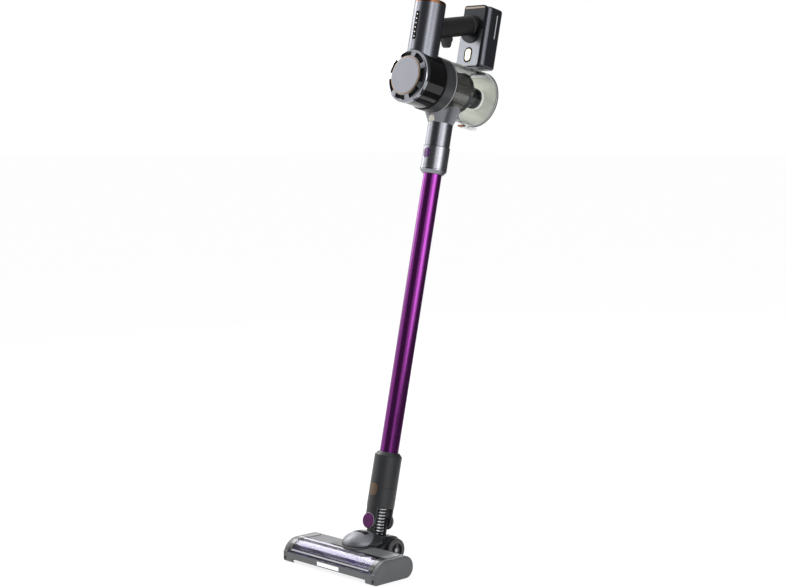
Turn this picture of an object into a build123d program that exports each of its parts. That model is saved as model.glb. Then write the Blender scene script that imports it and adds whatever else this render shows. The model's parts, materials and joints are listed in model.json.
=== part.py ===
from build123d import *
import os
from math import cos, radians, sin, sqrt

# Cordless stick vacuum, in millimetres and degrees.
# The floor frame has its origin on the floor under the head, with the front along -Y.
# The wand frame starts at the roll pivot: X across, S to the back (its second axis), T up the tube.

# Stance
LEAN = 12.53                # lean of the tube from upright
PIVOT_Y = 78.0              # roll pivot behind the origin
PIVOT_Z = 74.7              # roll pivot above the floor

# Fits
GAP = 0.4                   # between pieces that move past each other
SEAT = 0.1                  # between pieces that stay together
RUN = 0.05                  # round a pin or a shaft
REACH = 200.0               # length of a cutting tool, past every wall
PAST = 1.0                  # run of a cut past its face, or of a joined piece into its neighbour

# Tube and collars; heights along T, and drops under the barrel's axis
TUBE_R = 17.5
TUBE_WALL = 1.3
TUBE_BOTTOM = 72.0
TUBE_INSET = 5.0            # tube's top end inside the collar
COLLAR_R = 25.3
COLLAR_DROP = 112.0
COLLAR_LENGTH = 51.0
COLLAR_THROAT_R = 20.0      # small end of each collar's cone
COLLAR_CONE = 6.5
SPIGOT_R = 21.0
SPIGOT_LENGTH = 22.0
FOOT_COLLAR_R = 25.5
FOOT_COLLAR_BOTTOM = 63.2
FOOT_COLLAR_TOP = 128.5

# Buttons on the wand: width, height, corner; the neck's with its middle along T
COLLAR_BUTTON_SIZE = (15.0, 18.0, 7.0)
COLLAR_BUTTON_DROP = 14.0   # its middle under the collar's top
NECK_BUTTON = (17.0, 22.5, 6.0, 58.5)
CUP_BUTTON_SIZE = (13.0, 13.0, 5.0)
BUTTON_PROUD = 0.9
BUTTON_DEPTH = 5.2
BUTTON_TRAVEL = 2.0

# Neck, its tongues and the roll pivot
NECK_R = 25.5
NECK_ARCH = 28.0            # height of the side arches over the pivot
NECK_CROTCH = 25.0          # underside between the tongues
NECK_SPIGOT_LENGTH = 16.0
TONGUE_HALF = 13.0
TONGUE_INNER = 18.3
ROLL_PIN_R = 4.5
PIVOT_CAP_R = 13.7
PIVOT_CAP_SEAT = 24.4
PIVOT_CAP_FACE = 27.6

# Ribbed hose
HOSE_R = 12.6
HOSE_GROOVE_R = 10.8
HOSE_BORE_R = 9.0
HOSE_PITCH = 5.8
HOSE_RIBS = 9
HOSE_CUFF = 7.5             # plain length at each end
HOSE_TOP = 34.3

# Yoke and its drum on the pitch axle
AXLE_Y = 96.0
AXLE_Z = 21.5
AXLE_R = 4.0
EAR_HALF = 8.0
EAR_THICK = 3.6
BOOT_HALF = 14.6
DRUM_R = 20.4
DRUM_HALF = 16.7
DRUM_CROWN_R = 25.0
DRUM_CROWN_FROM = 50.0      # crown of the drum, as angles from the back
DRUM_CROWN_TO = 165.0
DUCT_R = 8.5
STUB_INSIDE = 4.5           # length of an axle stub inside the drum
STUB_INSET = 1.0            # end of a stub inside its wheel's hub

# Rear wheels and the cheeks that carry them
CHEEK_THICK = 4.4
CHEEK_R = 23.0
CHEEK_FOOT = 1.2
WHEEL_R = 21.3
WHEEL_WIDTH = 9.0
WHEEL_HUB_R = 6.5
WHEEL_RIM = 8.0
WHEEL_SPOKES = 3
SPOKE_SWEEP = 40.0

# Floor head
HEAD_HALF = 123.7
HEAD_FRONT = -48.0
HEAD_BACK = 47.0
HEAD_TOP = 41.0
HEAD_LIP = 19.0             # height of the front bar
HEAD_WALL = 2.3
HEAD_BROW = -16.7           # front end of the flat top, where the window's curve starts
HEAD_SHOULDER_R = 21.0
HEAD_HEEL_R = 18.0
HEAD_NOSE_R = 5.0
HEAD_LIP_STEP = 2.0         # bevel between the front bar and the window
END_CAP_THICK = 10.7
END_CAP_ROUND = 3.0
WINDOW_BACK = -10.0
PARTITION_Y = 1.0
LENS_HALF = 29.0
LENS_BOTTOM = 8.8
LENS_TOP = 16.6
BAR_LIFT = 7.4              # underside of the front bar between its feet
FOOT_WIDTH = 26.0

# Brush roller and its drive
ROLLER_Y = -24.0
ROLLER_Z = 18.2
ROLLER_CORE_R = 13.0
ROLLER_TIP_R = 17.4
ROLLER_BORE_R = 10.0
ROLLER_SHAFT_R = 3.0
ROLLER_SHAFT_SEAT = 6.0     # length of the shaft in each end cap
ROLLER_STRIPS = 4
ROLLER_STRIP_SWEEP = 34.0
ROLLER_TWIST = 210.0
SLOT_FRONT = -43.6
SLOT_BACK = -1.0
PULLEY_R = 9.0
PULLEY_WIDTH = 7.0
MOTOR_PULLEY_R = 6.0
BELT_THICK = 1.2
BELT_INSET = 1.0            # belt narrower than its pulleys, at each edge
BRUSH_MOTOR_Y = 24.0
BRUSH_MOTOR_R = 14.0
BRUSH_MOTOR_LENGTH = 58.0

# Small rollers in the front corners
FRONT_ROLLER_R = 4.6
FRONT_ROLLER_WIDTH = 5.0
FRONT_ROLLER_Y = -42.6
FRONT_ROLLER_Z = 4.9
FRONT_PIN_R = 1.5

# Hood over the hinge: the front of an ellipsoid on a narrower foot
HOOD_FRONT = -2.0
HOOD_MIDDLE = 40.0          # middle of the ellipsoid along Y
HOOD_BACK = 58.0
HOOD_HALF = 35.0
HOOD_LIP = 42.7
HOOD_PEAK = 63.0
HOOD_WALL = 2.4
HOOD_NOTCH_HALF = 15.0
HOOD_NOTCH_GAP = 2.0

# Barrel, lengths along S from the tube axis
BARREL_T = 815.0
CAP_FRONT = -108.0
CAP_PROUD = 0.5             # cap over the motor shell
CAP_ROUND = 4.0
CAP_DROP = 3.0              # fall of the cap's ring from the face plate to its rim
CAP_SKIRT = 5.0
FACE_INSET = 15.5           # face plate inside the cap's rim
FACE_FRONT = -111.0
TRIM_WIDTH = 1.3
CAP_SLOTS = 7
CAP_SLOT_SWEEP = 36.0
CAP_SLOT_INSET = 4.6        # slots inside the cap's rim
CAP_SLOT_WIDTH = 8.4
SHELL_FRONT = -97.0
SHELL_BACK = -52.0
SHELL_R = 49.5
SHELL_WALL = 2.2
RING_PROUD = 2.5            # ring over the motor shell
RING_BACK = -24.0
RING_WALL = 5.4
BULKHEAD_R = 39.0
BULKHEAD_BACK = -38.0
MOTOR_R = 33.0
MOTOR_WALL = 4.0
MOTOR_FRONT = -90.0
MOTOR_BACK = -57.0
MOUNT_FRONT = -72.0         # rubber collar between the motor and its shell
MOUNT_BACK = -62.0
FAN_R = 36.0
FAN_FRONT = -55.0
FAN_BACK = -42.0
FAN_BLADES = 9
FAN_BLADE = 1.3             # thickness of a blade
FAN_SHAFT_R = 3.0

# Dust cup, shroud, cone and lid
CUP_BACK = 82.0
CUP_INSET = 0.3             # cup's front edge inside the ring
CUP_FLARE = 1.5             # cup wider at the back
CUP_WALL = 2.0
CUP_SPIGOT = 12.0
CUP_INLET_R = 15.0
SHROUD_R = 37.0
SHROUD_WALL = 1.6
SHROUD_BACK = 28.0
SKIRT_R = 39.5
SKIRT_BACK = 35.0
CONE_FRONT_R = 24.0
CONE_BACK_R = 16.5
CONE_WALL = 1.6
CONE_BACK = 73.0
HUB_R = 20.0
HUB_BACK = 79.0
LID_PROUD = 0.4             # lid over the cup's back edge
LID_THICK = 6.0
LID_WALL = 2.0
GASKET_INSET = 4.2          # gasket inside the cup's back edge
GASKET_THICK = 1.5
HINGE_S = 85.2
HINGE_INSET = 3.8           # hinge axis under the lid's top
HINGE_R = 3.1
HINGE_PIN_R = 1.5
HINGE_HALF = 13.0
KNUCKLE_HALF = 8.6
LATCH_HALF = 8.0
LATCH_FRONT = 55.0
LATCH_PIVOT_S = 66.0
LATCH_DROP = 4.0            # latch pivot under the lid's rim
LATCH_THICK = 3.0
LATCH_PIN_R = 1.3
LATCH_EAR = 2.4
LATCH_HOOK = 2.4

# Inlet housing under the barrel
INLET_R = 23.8
FLARE_DROP = 15.0           # start of the flare under the barrel
CRADLE_SINK = 25.0          # end of the flare under the barrel's axis
CRADLE_X = 44.0
CRADLE_S = 39.0
CRADLE_MIDDLE = -3.0
INLET_BORE_R = 16.0

# Display column; rises are over the barrel's axis
COLUMN_S = -74.5
COLUMN_R = 29.2
COLUMN_WALL = 2.5
COLUMN_ROOT = 23.0          # its hidden foot over the barrel's axis
COLUMN_RISE = 140.5
TRIM_RING_HEIGHT = 3.0
TOP_CAP_HEIGHT = 3.5
TOP_CAP_INSET = 0.9
WINDOW_WIDTH = 9.0
WINDOW_RISE = 69.0
WINDOW_HEIGHT = 53.0
WINDOW_DEPTH = 2.0
BOARD_WIDTH = 18.0
BOARD_THICK = 1.6

# Grip, from the back of the column up to the battery holder
GRIP_HEIGHT = 103.6
GRIP_SLOPE = 19.1
GRIP_R = 18.5
CORE_R = 15.0
CORE_BORE_R = 12.0
CORE_INSIDE = 8.0           # length of the core inside the column

# Trigger, in the grip's own frame: Z along the grip, Y down
TRIGGER_HALF = 5.5
TRIGGER_PIN_Z = 13.0
TRIGGER_PIN_Y = 9.0
TRIGGER_PIN_R = 2.0
TRIGGER_TIP = 37.0
TRIGGER_SAG = 7.5           # depth of the rounded tip
TRIGGER_TAPER = 5.0
TRIGGER_SLOT_FRONT = 6.0
TRIGGER_SLOT_BACK = 36.0

# Battery and its holder
HOLDER_FRONT = 44.0
HOLDER_THICK = 5.8
HOLDER_HALF = 27.0
HOLDER_CORNER = 5.0
BATTERY_RISE = 2.4          # battery over the lid
BATTERY_TOP_RISE = 173.0
BATTERY_HALF = 30.7
BATTERY_BACK = 94.0
BATTERY_ROUND = 11.0
BATTERY_WALL = 2.4
BATTERY_EDGE = 5.0
FLANGE_R = 25.0
FLANGE_RISE = 125.0
FLANGE_THICK = 3.0
RAIL_X = 16.0
RAIL_WIDTH = 5.0
RAIL_DEPTH = 3.0
CELL_R = 9.1
CELL_LENGTH = 65.0
BATTERY_BUTTON_SIZE = (14.0, 24.0, 6.5)   # width, height, corner
BATTERY_BUTTON_RISE = 21.0
BATTERY_RECESS = 3.0        # margin of the recess round the button
JACK_R = 2.8
JACK_DEPTH = 9.5
JACK_RISE = 13.0            # socket over the battery's bottom
JACK_BODY_R = 6.0

# Values worked out from those above
WAND = Plane((0, PIVOT_Y, PIVOT_Z), x_dir=(1, 0, 0), z_dir=(0, sin(radians(LEAN)), cos(radians(LEAN))))
COLLAR_TOP = BARREL_T - COLLAR_DROP
COLLAR_BOTTOM = COLLAR_TOP - COLLAR_LENGTH
TUBE_TOP = COLLAR_TOP - TUBE_INSET
COLLAR_BUTTON = (*COLLAR_BUTTON_SIZE, COLLAR_TOP - COLLAR_BUTTON_DROP)
COLUMN_BOTTOM = BARREL_T + COLUMN_ROOT
COLUMN_TOP = BARREL_T + COLUMN_RISE
WINDOW_BOTTOM = BARREL_T + WINDOW_RISE
WINDOW_TOP = WINDOW_BOTTOM + WINDOW_HEIGHT
GRIP_T = BARREL_T + GRIP_HEIGHT
FLANGE_T = BARREL_T + FLANGE_RISE
BATTERY_TOP = BARREL_T + BATTERY_TOP_RISE
CAP_R = SHELL_R + CAP_PROUD
CAP_SKIRT_R = SHELL_R - SHELL_WALL - GAP
CAP_SLOT_OUTER = CAP_R - CAP_SLOT_INSET
CAP_SLOT_INNER = CAP_SLOT_OUTER - CAP_SLOT_WIDTH
FACE_R = CAP_R - FACE_INSET
CAP_CONE_R = FACE_R + TRIM_WIDTH + 2 * SEAT        # the ring falls from here
RING_R = SHELL_R + RING_PROUD
RING_BORE = RING_R - RING_WALL
CUP_FRONT_R = RING_R - CUP_INSET
CUP_BACK_R = CUP_FRONT_R + CUP_FLARE
LID_R = CUP_BACK_R + LID_PROUD
GASKET_R = CUP_BACK_R - GASKET_INSET
FLARE_T = BARREL_T - RING_R - FLARE_DROP
CRADLE_T = BARREL_T - CRADLE_SINK
CUP_BUTTON = (*CUP_BUTTON_SIZE, FLARE_T + CUP_BUTTON_SIZE[1] / 2)
BATTERY_BOTTOM = BARREL_T + LID_R + BATTERY_RISE
BATTERY_BUTTON = (*BATTERY_BUTTON_SIZE, BATTERY_BOTTOM + BATTERY_BUTTON_RISE)
JACK_T = BATTERY_BOTTOM + JACK_RISE
BARREL = Plane((0, 0, BARREL_T), x_dir=(1, 0, 0), z_dir=(0, 1, 0))
GRIP_AXIS = (0, cos(radians(GRIP_SLOPE)), sin(radians(GRIP_SLOPE)))
GRIP = Plane((0, COLUMN_S + COLUMN_R, GRIP_T), x_dir=(1, 0, 0), z_dir=GRIP_AXIS)
BATTERY_FRONT = HOLDER_FRONT + HOLDER_THICK + GAP
BODY_HALF = HEAD_HALF - END_CAP_THICK - SEAT      # shells of the head between the end caps
CHEEK_IN = DRUM_HALF + GAP
CHEEK_OUT = CHEEK_IN + CHEEK_THICK
WHEEL_IN = CHEEK_OUT + GAP
WHEEL_OUT = WHEEL_IN + WHEEL_WIDTH
LID_FRONT = CUP_BACK + GAP
HINGE_T = BARREL_T + LID_R - HINGE_INSET
LATCH_T = BARREL_T - LID_R - LATCH_DROP
HOSE_BOTTOM = HOSE_TOP - 2 * HOSE_CUFF - HOSE_RIBS * HOSE_PITCH
EAR_OUT = TONGUE_INNER - GAP
EAR_IN = EAR_OUT - EAR_THICK
BELT_X = -(BODY_HALF - PULLEY_WIDTH)
PULLEY_OUT = BELT_X - PULLEY_WIDTH / 2
PULLEY_IN = BELT_X + PULLEY_WIDTH / 2
BRUSH_MOTOR_Z = HEAD_WALL + SEAT + BRUSH_MOTOR_R
LID_BACK = LID_FRONT + LID_THICK


def rod(radius, start, end):
    """Round bar along Z."""
    return Pos(0, 0, (start + end) / 2) * Cylinder(radius, end - start)


def pipe(outer, inner, start, end):
    return rod(outer, start, end) - rod(inner, start - PAST, end + PAST)


def block(x0, x1, y0, y1, z0, z1):
    return Pos((x0 + x1) / 2, (y0 + y1) / 2, (z0 + z1) / 2) * Box(x1 - x0, y1 - y0, z1 - z0)


def turned(*outline):
    """Solid turned about Z from points of radius and height."""
    return revolve(Plane.XZ * make_face(Polyline(*outline, close=True)), Axis.Z)


def along_s(radius, start, end, t):
    """Round bar along the second axis, at height t."""
    return Plane((0, 0, t), x_dir=(1, 0, 0), z_dir=(0, 1, 0)).location * rod(radius, start, end)


def along_x(radius, start, end, y, z):
    """Round bar along X through (y, z)."""
    return Plane((0, y, z), x_dir=(0, 1, 0), z_dir=(1, 0, 0)).location * rod(radius, start, end)


def slab(face, start, end):
    """Face drawn in Y and Z, as a slab from x = start to x = end."""
    return Pos(start, 0, 0) * extrude(Plane.YZ * face, end - start)


def front_slab(face, start, end):
    """Face drawn in X and Z, as a slab from y = start to y = end."""
    return Plane((0, end, 0), x_dir=(1, 0, 0), z_dir=(0, -1, 0)).location * extrude(face, end - start)


def polygon(*points):
    return make_face(Polyline(*points, close=True))


def pad(size, start, end, margin=0):
    """Rounded tablet that faces along S; size is width, height, corner and middle along T."""
    width, height, corner, middle = size
    face = RectangleRounded(width + 2 * margin, height + 2 * margin, corner + margin)
    return Plane((0, start, middle), x_dir=(1, 0, 0), z_dir=(0, 1, 0)).location * extrude(face, end - start)


def sector(inner, outer, middle, sweep):
    """Flat ring sector about the origin."""
    first = middle - sweep / 2
    arcs = [CenterArc((0, 0), radius, first, sweep) for radius in (inner, outer)]
    ends = [Line(arcs[0] @ end, arcs[1] @ end) for end in (0, 1)]
    return make_face(arcs + ends)


def about_barrel(shape):
    return BARREL.location * shape


def mirrored(shape):
    return mirror(shape, Plane.YZ)


def cup_radius(s):
    return CUP_FRONT_R + (CUP_BACK_R - CUP_FRONT_R) * (s - RING_BACK) / (CUP_BACK - RING_BACK)


def barrel_space():
    """Room that the barrel's pieces take, for the saddles cut into what sits on it."""
    room = rod(CAP_R + GAP, FACE_FRONT - GAP, SHELL_FRONT) + rod(SHELL_R + SEAT, SHELL_FRONT, SHELL_BACK)
    room += rod(RING_R + SEAT, SHELL_BACK, RING_BACK)
    cup = (CUP_FRONT_R + GAP, CUP_BACK_R + GAP)
    room += turned((0, RING_BACK), (cup[0], RING_BACK), (cup[1], CUP_BACK), (0, CUP_BACK))
    return about_barrel(room)


# Tube and collars

def wand_tube():
    return pipe(TUBE_R, TUBE_R - TUBE_WALL, TUBE_BOTTOM, TUBE_TOP)


def button_in(size, surface_r):
    """Push button whose face follows a round surface, with the pocket it moves in."""
    front = -(surface_r + BUTTON_PROUD)
    button = pad(size, front - PAST, front + BUTTON_DEPTH)
    button &= rod(-front, size[3] - size[1], size[3] + size[1])
    pocket = pad(size, -REACH, front + BUTTON_DEPTH + BUTTON_TRAVEL + GAP, GAP)
    return button, pocket


def wand_collar(pocket):
    bore = TUBE_R + SEAT
    throat = TUBE_R - TUBE_WALL
    body = turned((bore, COLLAR_BOTTOM), (COLLAR_THROAT_R, COLLAR_BOTTOM),
                  (COLLAR_R, COLLAR_BOTTOM + COLLAR_CONE), (COLLAR_R, COLLAR_TOP), (SPIGOT_R, COLLAR_TOP),
                  (SPIGOT_R, COLLAR_TOP + SPIGOT_LENGTH), (throat, COLLAR_TOP + SPIGOT_LENGTH),
                  (throat, TUBE_TOP + SEAT), (bore, TUBE_TOP + SEAT))
    return body - pocket


def foot_collar(pocket):
    bore = TUBE_R + SEAT
    throat = TUBE_R - TUBE_WALL
    body = turned((bore, TUBE_BOTTOM - SEAT), (throat, TUBE_BOTTOM - SEAT), (throat, FOOT_COLLAR_BOTTOM),
                  (FOOT_COLLAR_R, FOOT_COLLAR_BOTTOM), (FOOT_COLLAR_R, FOOT_COLLAR_TOP - COLLAR_CONE),
                  (COLLAR_THROAT_R, FOOT_COLLAR_TOP), (bore, FOOT_COLLAR_TOP))
    return body - pocket


# Neck, hose and yoke

def neck_front():
    """Outline of the neck seen from the front: a band over two side arches, with a round tongue."""
    top = FOOT_COLLAR_BOTTOM - SEAT
    corner = NECK_R - TONGUE_HALF
    band = polygon((-NECK_R, NECK_ARCH), (NECK_R, NECK_ARCH), (NECK_R, top), (-NECK_R, top))
    tongue = polygon((-TONGUE_HALF, 0), (TONGUE_HALF, 0), (TONGUE_HALF, NECK_ARCH), (-TONGUE_HALF, NECK_ARCH))
    outline = band + tongue + Circle(TONGUE_HALF)
    for side in (-1, 1):
        x = side * TONGUE_HALF
        web = polygon((x, NECK_ARCH), (x + side * corner / 2, NECK_ARCH), (x, NECK_ARCH - corner / 2))
        outline += web - Pos(x + side * corner / 2, NECK_ARCH - corner / 2) * Circle(corner / 2)
    return outline


def neck_socket(pocket):
    top = FOOT_COLLAR_BOTTOM - SEAT
    body = rod(NECK_R, -TONGUE_HALF, top) & front_slab(neck_front(), -NECK_R, NECK_R)
    body -= block(-NECK_R, NECK_R, -TONGUE_INNER, TONGUE_INNER, -TONGUE_HALF - PAST, NECK_CROTCH)
    body += rod(TUBE_R - TUBE_WALL - SEAT, top - PAST, top + NECK_SPIGOT_LENGTH)
    body -= rod(HOSE_R + GAP, NECK_CROTCH - PAST, HOSE_TOP + SEAT)
    body -= rod(HOSE_BORE_R, NECK_CROTCH, top + NECK_SPIGOT_LENGTH + PAST)
    body -= along_s(ROLL_PIN_R + SEAT, -NECK_R, NECK_R, 0)
    for side in (-1, 1):
        seat = sorted((side * PIVOT_CAP_SEAT, side * (NECK_R + PAST)))
        body -= along_s(PIVOT_CAP_R + SEAT, *seat, 0)
    return body - pocket


def pivot_cap(side):
    """Cap over a roll pivot, with its pin."""
    cap = along_s(PIVOT_CAP_R, *sorted((side * (PIVOT_CAP_SEAT + SEAT), side * PIVOT_CAP_FACE)), 0)
    rim = cap.faces().sort_by(Axis.Y)[-1 if side > 0 else 0].edges()
    cap = fillet(rim, (PIVOT_CAP_FACE - PIVOT_CAP_SEAT) / 3)
    return cap + along_s(ROLL_PIN_R, *sorted((side * EAR_IN, side * (PIVOT_CAP_SEAT + PAST))), 0)


def neck_hose():
    """Ribbed hose with plain cuffs; each rib is a ruled loft through four circles."""
    first = HOSE_BOTTOM + HOSE_CUFF
    stations = [(HOSE_BOTTOM, HOSE_GROOVE_R)]
    for rib in range(HOSE_RIBS):
        foot = first + rib * HOSE_PITCH
        steps = ((0.10, HOSE_GROOVE_R), (0.28, HOSE_R), (0.62, HOSE_R), (0.80, HOSE_GROOVE_R))
        stations += [(foot + share * HOSE_PITCH, radius) for share, radius in steps]
    stations.append((HOSE_TOP, HOSE_GROOVE_R))
    body = loft([Plane((0, 0, t), x_dir=(1, 0, 0)) * Circle(radius) for t, radius in stations], ruled=True)
    return body - rod(HOSE_BORE_R, HOSE_BOTTOM - PAST, HOSE_TOP + PAST)


def axle_in_wand():
    """Pitch axle's place along S and T."""
    back, up = AXLE_Y - PIVOT_Y, AXLE_Z - PIVOT_Z
    turn = radians(LEAN)
    return back * cos(turn) - up * sin(turn), back * sin(turn) + up * cos(turn)


def yoke_riser():
    """Ears and boot in the wand frame, with the duct down to the drum."""
    axle_s, axle_t = axle_in_wand()
    socket = HOSE_BOTTOM + HOSE_CUFF
    root = socket - PAST
    ear = Circle(EAR_HALF) + polygon((-EAR_HALF, 0), (EAR_HALF, 0), (EAR_HALF, root), (-EAR_HALF, root))
    boot = polygon((-EAR_OUT, socket), (EAR_OUT, socket), (axle_s + DRUM_R / 4, socket - DRUM_R / 4),
                   (axle_s, axle_t), (axle_s - 0.7 * DRUM_R, axle_t - 0.6 * DRUM_R),
                   (-EAR_OUT / 2, axle_t - HOSE_CUFF / 4), (-EAR_OUT, HOSE_BOTTOM - HEAD_WALL))
    body = slab(boot, -BOOT_HALF, BOOT_HALF)
    for start in (-EAR_OUT, EAR_IN):
        plate = front_slab(ear, start, start + EAR_THICK)
        body += plate - along_s(ROLL_PIN_R + RUN, start - PAST, start + EAR_THICK + PAST, 0)
    turn_t = axle_t + DUCT_R / 2
    body -= rod(DUCT_R, turn_t, HOSE_BOTTOM + PAST)
    return body - along_s(DUCT_R, 0, axle_s, turn_t + DUCT_R / 2)


def yoke():
    """Riser with the hose socket, on a drum that turns on the axle stubs."""
    drum = along_x(DRUM_R, -DRUM_HALF, DRUM_HALF, AXLE_Y, AXLE_Z)
    far = 2 * DRUM_CROWN_R
    angles = [DRUM_CROWN_FROM, (DRUM_CROWN_FROM + DRUM_CROWN_TO) / 2, DRUM_CROWN_TO]
    rays = [(AXLE_Y + far * cos(radians(angle)), AXLE_Z + far * sin(radians(angle))) for angle in angles]
    crown = along_x(DRUM_CROWN_R, -DRUM_HALF, DRUM_HALF, AXLE_Y, AXLE_Z)
    crown &= slab(polygon((AXLE_Y, AXLE_Z), *rays), -DRUM_HALF, DRUM_HALF)
    body = WAND.location * yoke_riser() + (drum + crown)
    body -= WAND.location * rod(HOSE_R + GAP, HOSE_BOTTOM - SEAT, HOSE_BOTTOM + HOSE_CUFF + PAST)
    axle_s, axle_t = axle_in_wand()
    body -= WAND.location * along_s(DUCT_R, 0, axle_s, axle_t + DUCT_R)
    body -= block(-DUCT_R, DUCT_R, AXLE_Y - DRUM_CROWN_R - PAST, AXLE_Y, AXLE_Z - DUCT_R, AXLE_Z + DUCT_R)
    return body - along_x(AXLE_R + RUN, -REACH, REACH, AXLE_Y, AXLE_Z)


def axle_stubs():
    inner = DRUM_HALF - STUB_INSIDE
    stub = along_x(AXLE_R, inner, WHEEL_OUT - STUB_INSET, AXLE_Y, AXLE_Z)
    return [stub, mirrored(stub)]


def rear_wheel():
    """Spoked wheel on the +X side."""
    middle = WHEEL_WIDTH / 2
    edge = WHEEL_WIDTH / 6
    wheel = turned((AXLE_R + RUN, 0), (WHEEL_R - edge, 0), (WHEEL_R, edge), (WHEEL_R, WHEEL_WIDTH - edge),
                   (WHEEL_R - edge, WHEEL_WIDTH), (AXLE_R + RUN, WHEEL_WIDTH))
    inside = WHEEL_R - WHEEL_RIM
    step = 360 / WHEEL_SPOKES
    for spoke in range(WHEEL_SPOKES):
        window = sector(WHEEL_HUB_R, inside, spoke * step, step - SPOKE_SWEEP)
        wheel -= Pos(0, 0, edge) * extrude(window, WHEEL_WIDTH)
    wheel -= pipe(inside, WHEEL_HUB_R, middle + edge / 2, WHEEL_WIDTH + PAST)
    return Plane((WHEEL_IN, AXLE_Y, AXLE_Z), x_dir=(0, 1, 0), z_dir=(1, 0, 0)).location * wheel


# Floor head

def head_profile():
    """Side outline of the floor head: flat sole and top, round nose and back."""
    heel = [(HEAD_BACK - HEAD_HEEL_R, 0), (HEAD_BACK, HEAD_HEEL_R)]
    shoulder = [(HEAD_BACK, HEAD_TOP - HEAD_SHOULDER_R), (HEAD_BACK - HEAD_SHOULDER_R, HEAD_TOP)]
    brow = (HEAD_BROW, HEAD_TOP)
    lip = [(HEAD_FRONT + HEAD_LIP_STEP, HEAD_LIP + HEAD_LIP_STEP), (HEAD_FRONT, HEAD_LIP)]
    nose = [(HEAD_FRONT, HEAD_NOSE_R), (HEAD_FRONT + HEAD_NOSE_R, 0)]
    return make_face([
        Line(nose[1], heel[0]), TangentArc(*heel, tangent=(1, 0)), Line(heel[1], shoulder[0]),
        TangentArc(*shoulder, tangent=(0, 1)), Line(shoulder[1], brow),
        TangentArc(brow, lip[0], tangent=(-1, 0)),
        Line(*lip), Line(lip[1], nose[0]), TangentArc(*nose, tangent=(0, -1)),
    ])


def head_shell():
    inside = slab(offset(head_profile(), -HEAD_WALL), -HEAD_HALF, HEAD_HALF)
    return slab(head_profile(), -BODY_HALF, BODY_HALF) - inside


def head_zone(y0, y1, z0, z1):
    return block(-HEAD_HALF, HEAD_HALF, y0, y1, z0, z1)


def roller_window(shell):
    return shell & head_zone(HEAD_FRONT - PAST, WINDOW_BACK, HEAD_LIP + SEAT, HEAD_TOP + PAST)


def head_cover(shell):
    return shell & head_zone(WINDOW_BACK + SEAT, HEAD_BACK + PAST, HEAD_LIP + SEAT, HEAD_TOP + PAST)


def cheek():
    """Round side plate that carries an axle stub, on the +X side."""
    root = HEAD_BACK - HEAD_WALL
    arm = polygon((root, HEAD_HEEL_R / 2), (root, HEAD_LIP + HEAD_WALL), (AXLE_Y, AXLE_Z + CHEEK_R),
                  (AXLE_Y, CHEEK_FOOT))
    plate = slab(arm, CHEEK_IN, CHEEK_OUT) + along_x(CHEEK_R, CHEEK_IN, CHEEK_OUT, AXLE_Y, AXLE_Z)
    plate &= head_zone(0, AXLE_Y + CHEEK_R, CHEEK_FOOT, HEAD_TOP + CHEEK_R)
    above = slab(offset(head_profile(), SEAT), 0, HEAD_HALF)
    above &= head_zone(0, HEAD_BACK + PAST, HEAD_LIP, HEAD_TOP + PAST)
    return plate - above - along_x(AXLE_R + SEAT, 0, HEAD_HALF, AXLE_Y, AXLE_Z)


def head_base(shell):
    """Lower shell with the roller slot, the wall behind the roller and the two cheeks."""
    body = shell & head_zone(HEAD_FRONT - PAST, HEAD_BACK + PAST, -PAST, HEAD_LIP)
    edge = BODY_HALF - HEAD_WALL
    body -= block(-edge, edge, SLOT_FRONT, SLOT_BACK, -PAST, HEAD_WALL + PAST)
    foot = HEAD_HALF - FOOT_WIDTH
    body -= block(-foot, foot, HEAD_FRONT - PAST, SLOT_FRONT + PAST, -PAST, BAR_LIFT)
    wall = block(PULLEY_IN + GAP, BODY_HALF, PARTITION_Y, PARTITION_Y + HEAD_WALL, HEAD_WALL / 2, HEAD_LIP)
    mouth = block(-DRUM_HALF, DRUM_HALF, PARTITION_Y - PAST, HEAD_BACK + PAST,
                  HEAD_WALL + PAST, HEAD_LIP - HEAD_WALL)
    body = body + wall - mouth
    body -= block(-LENS_HALF, LENS_HALF, HEAD_FRONT - PAST, HEAD_FRONT + HEAD_WALL + PAST,
                  LENS_BOTTOM, LENS_TOP)
    return body + cheek() + mirrored(cheek())


def light_lens():
    half = LENS_HALF - SEAT
    return block(-half, half, HEAD_FRONT, HEAD_FRONT + HEAD_WALL, LENS_BOTTOM + SEAT, LENS_TOP - SEAT)


def front_roller_room():
    """Start and end of the front roller's notch along X."""
    end = HEAD_HALF - END_CAP_ROUND
    return end - FRONT_ROLLER_WIDTH - 2 * GAP, end


def end_cap():
    """Cap on the +X end, with the roller's bearing and the notch of the front roller."""
    body = slab(head_profile(), BODY_HALF + SEAT, HEAD_HALF)
    body = fillet(body.faces().sort_by(Axis.X)[-1].edges(), END_CAP_ROUND)
    start, end = front_roller_room()
    room = FRONT_ROLLER_R + GAP
    body -= block(start, end, HEAD_FRONT - PAST, FRONT_ROLLER_Y + room, -PAST, FRONT_ROLLER_Z + room)
    body += along_x(FRONT_PIN_R, start - PAST, end + PAST, FRONT_ROLLER_Y, FRONT_ROLLER_Z)
    shaft_end = BODY_HALF + SEAT + ROLLER_SHAFT_SEAT
    return body - along_x(ROLLER_SHAFT_R + RUN, BODY_HALF, shaft_end + GAP, ROLLER_Y, ROLLER_Z)


def front_roller():
    start, end = front_roller_room()
    return (along_x(FRONT_ROLLER_R, start + GAP, end - GAP, FRONT_ROLLER_Y, FRONT_ROLLER_Z)
            - along_x(FRONT_PIN_R + RUN, start, end, FRONT_ROLLER_Y, FRONT_ROLLER_Z))


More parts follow.
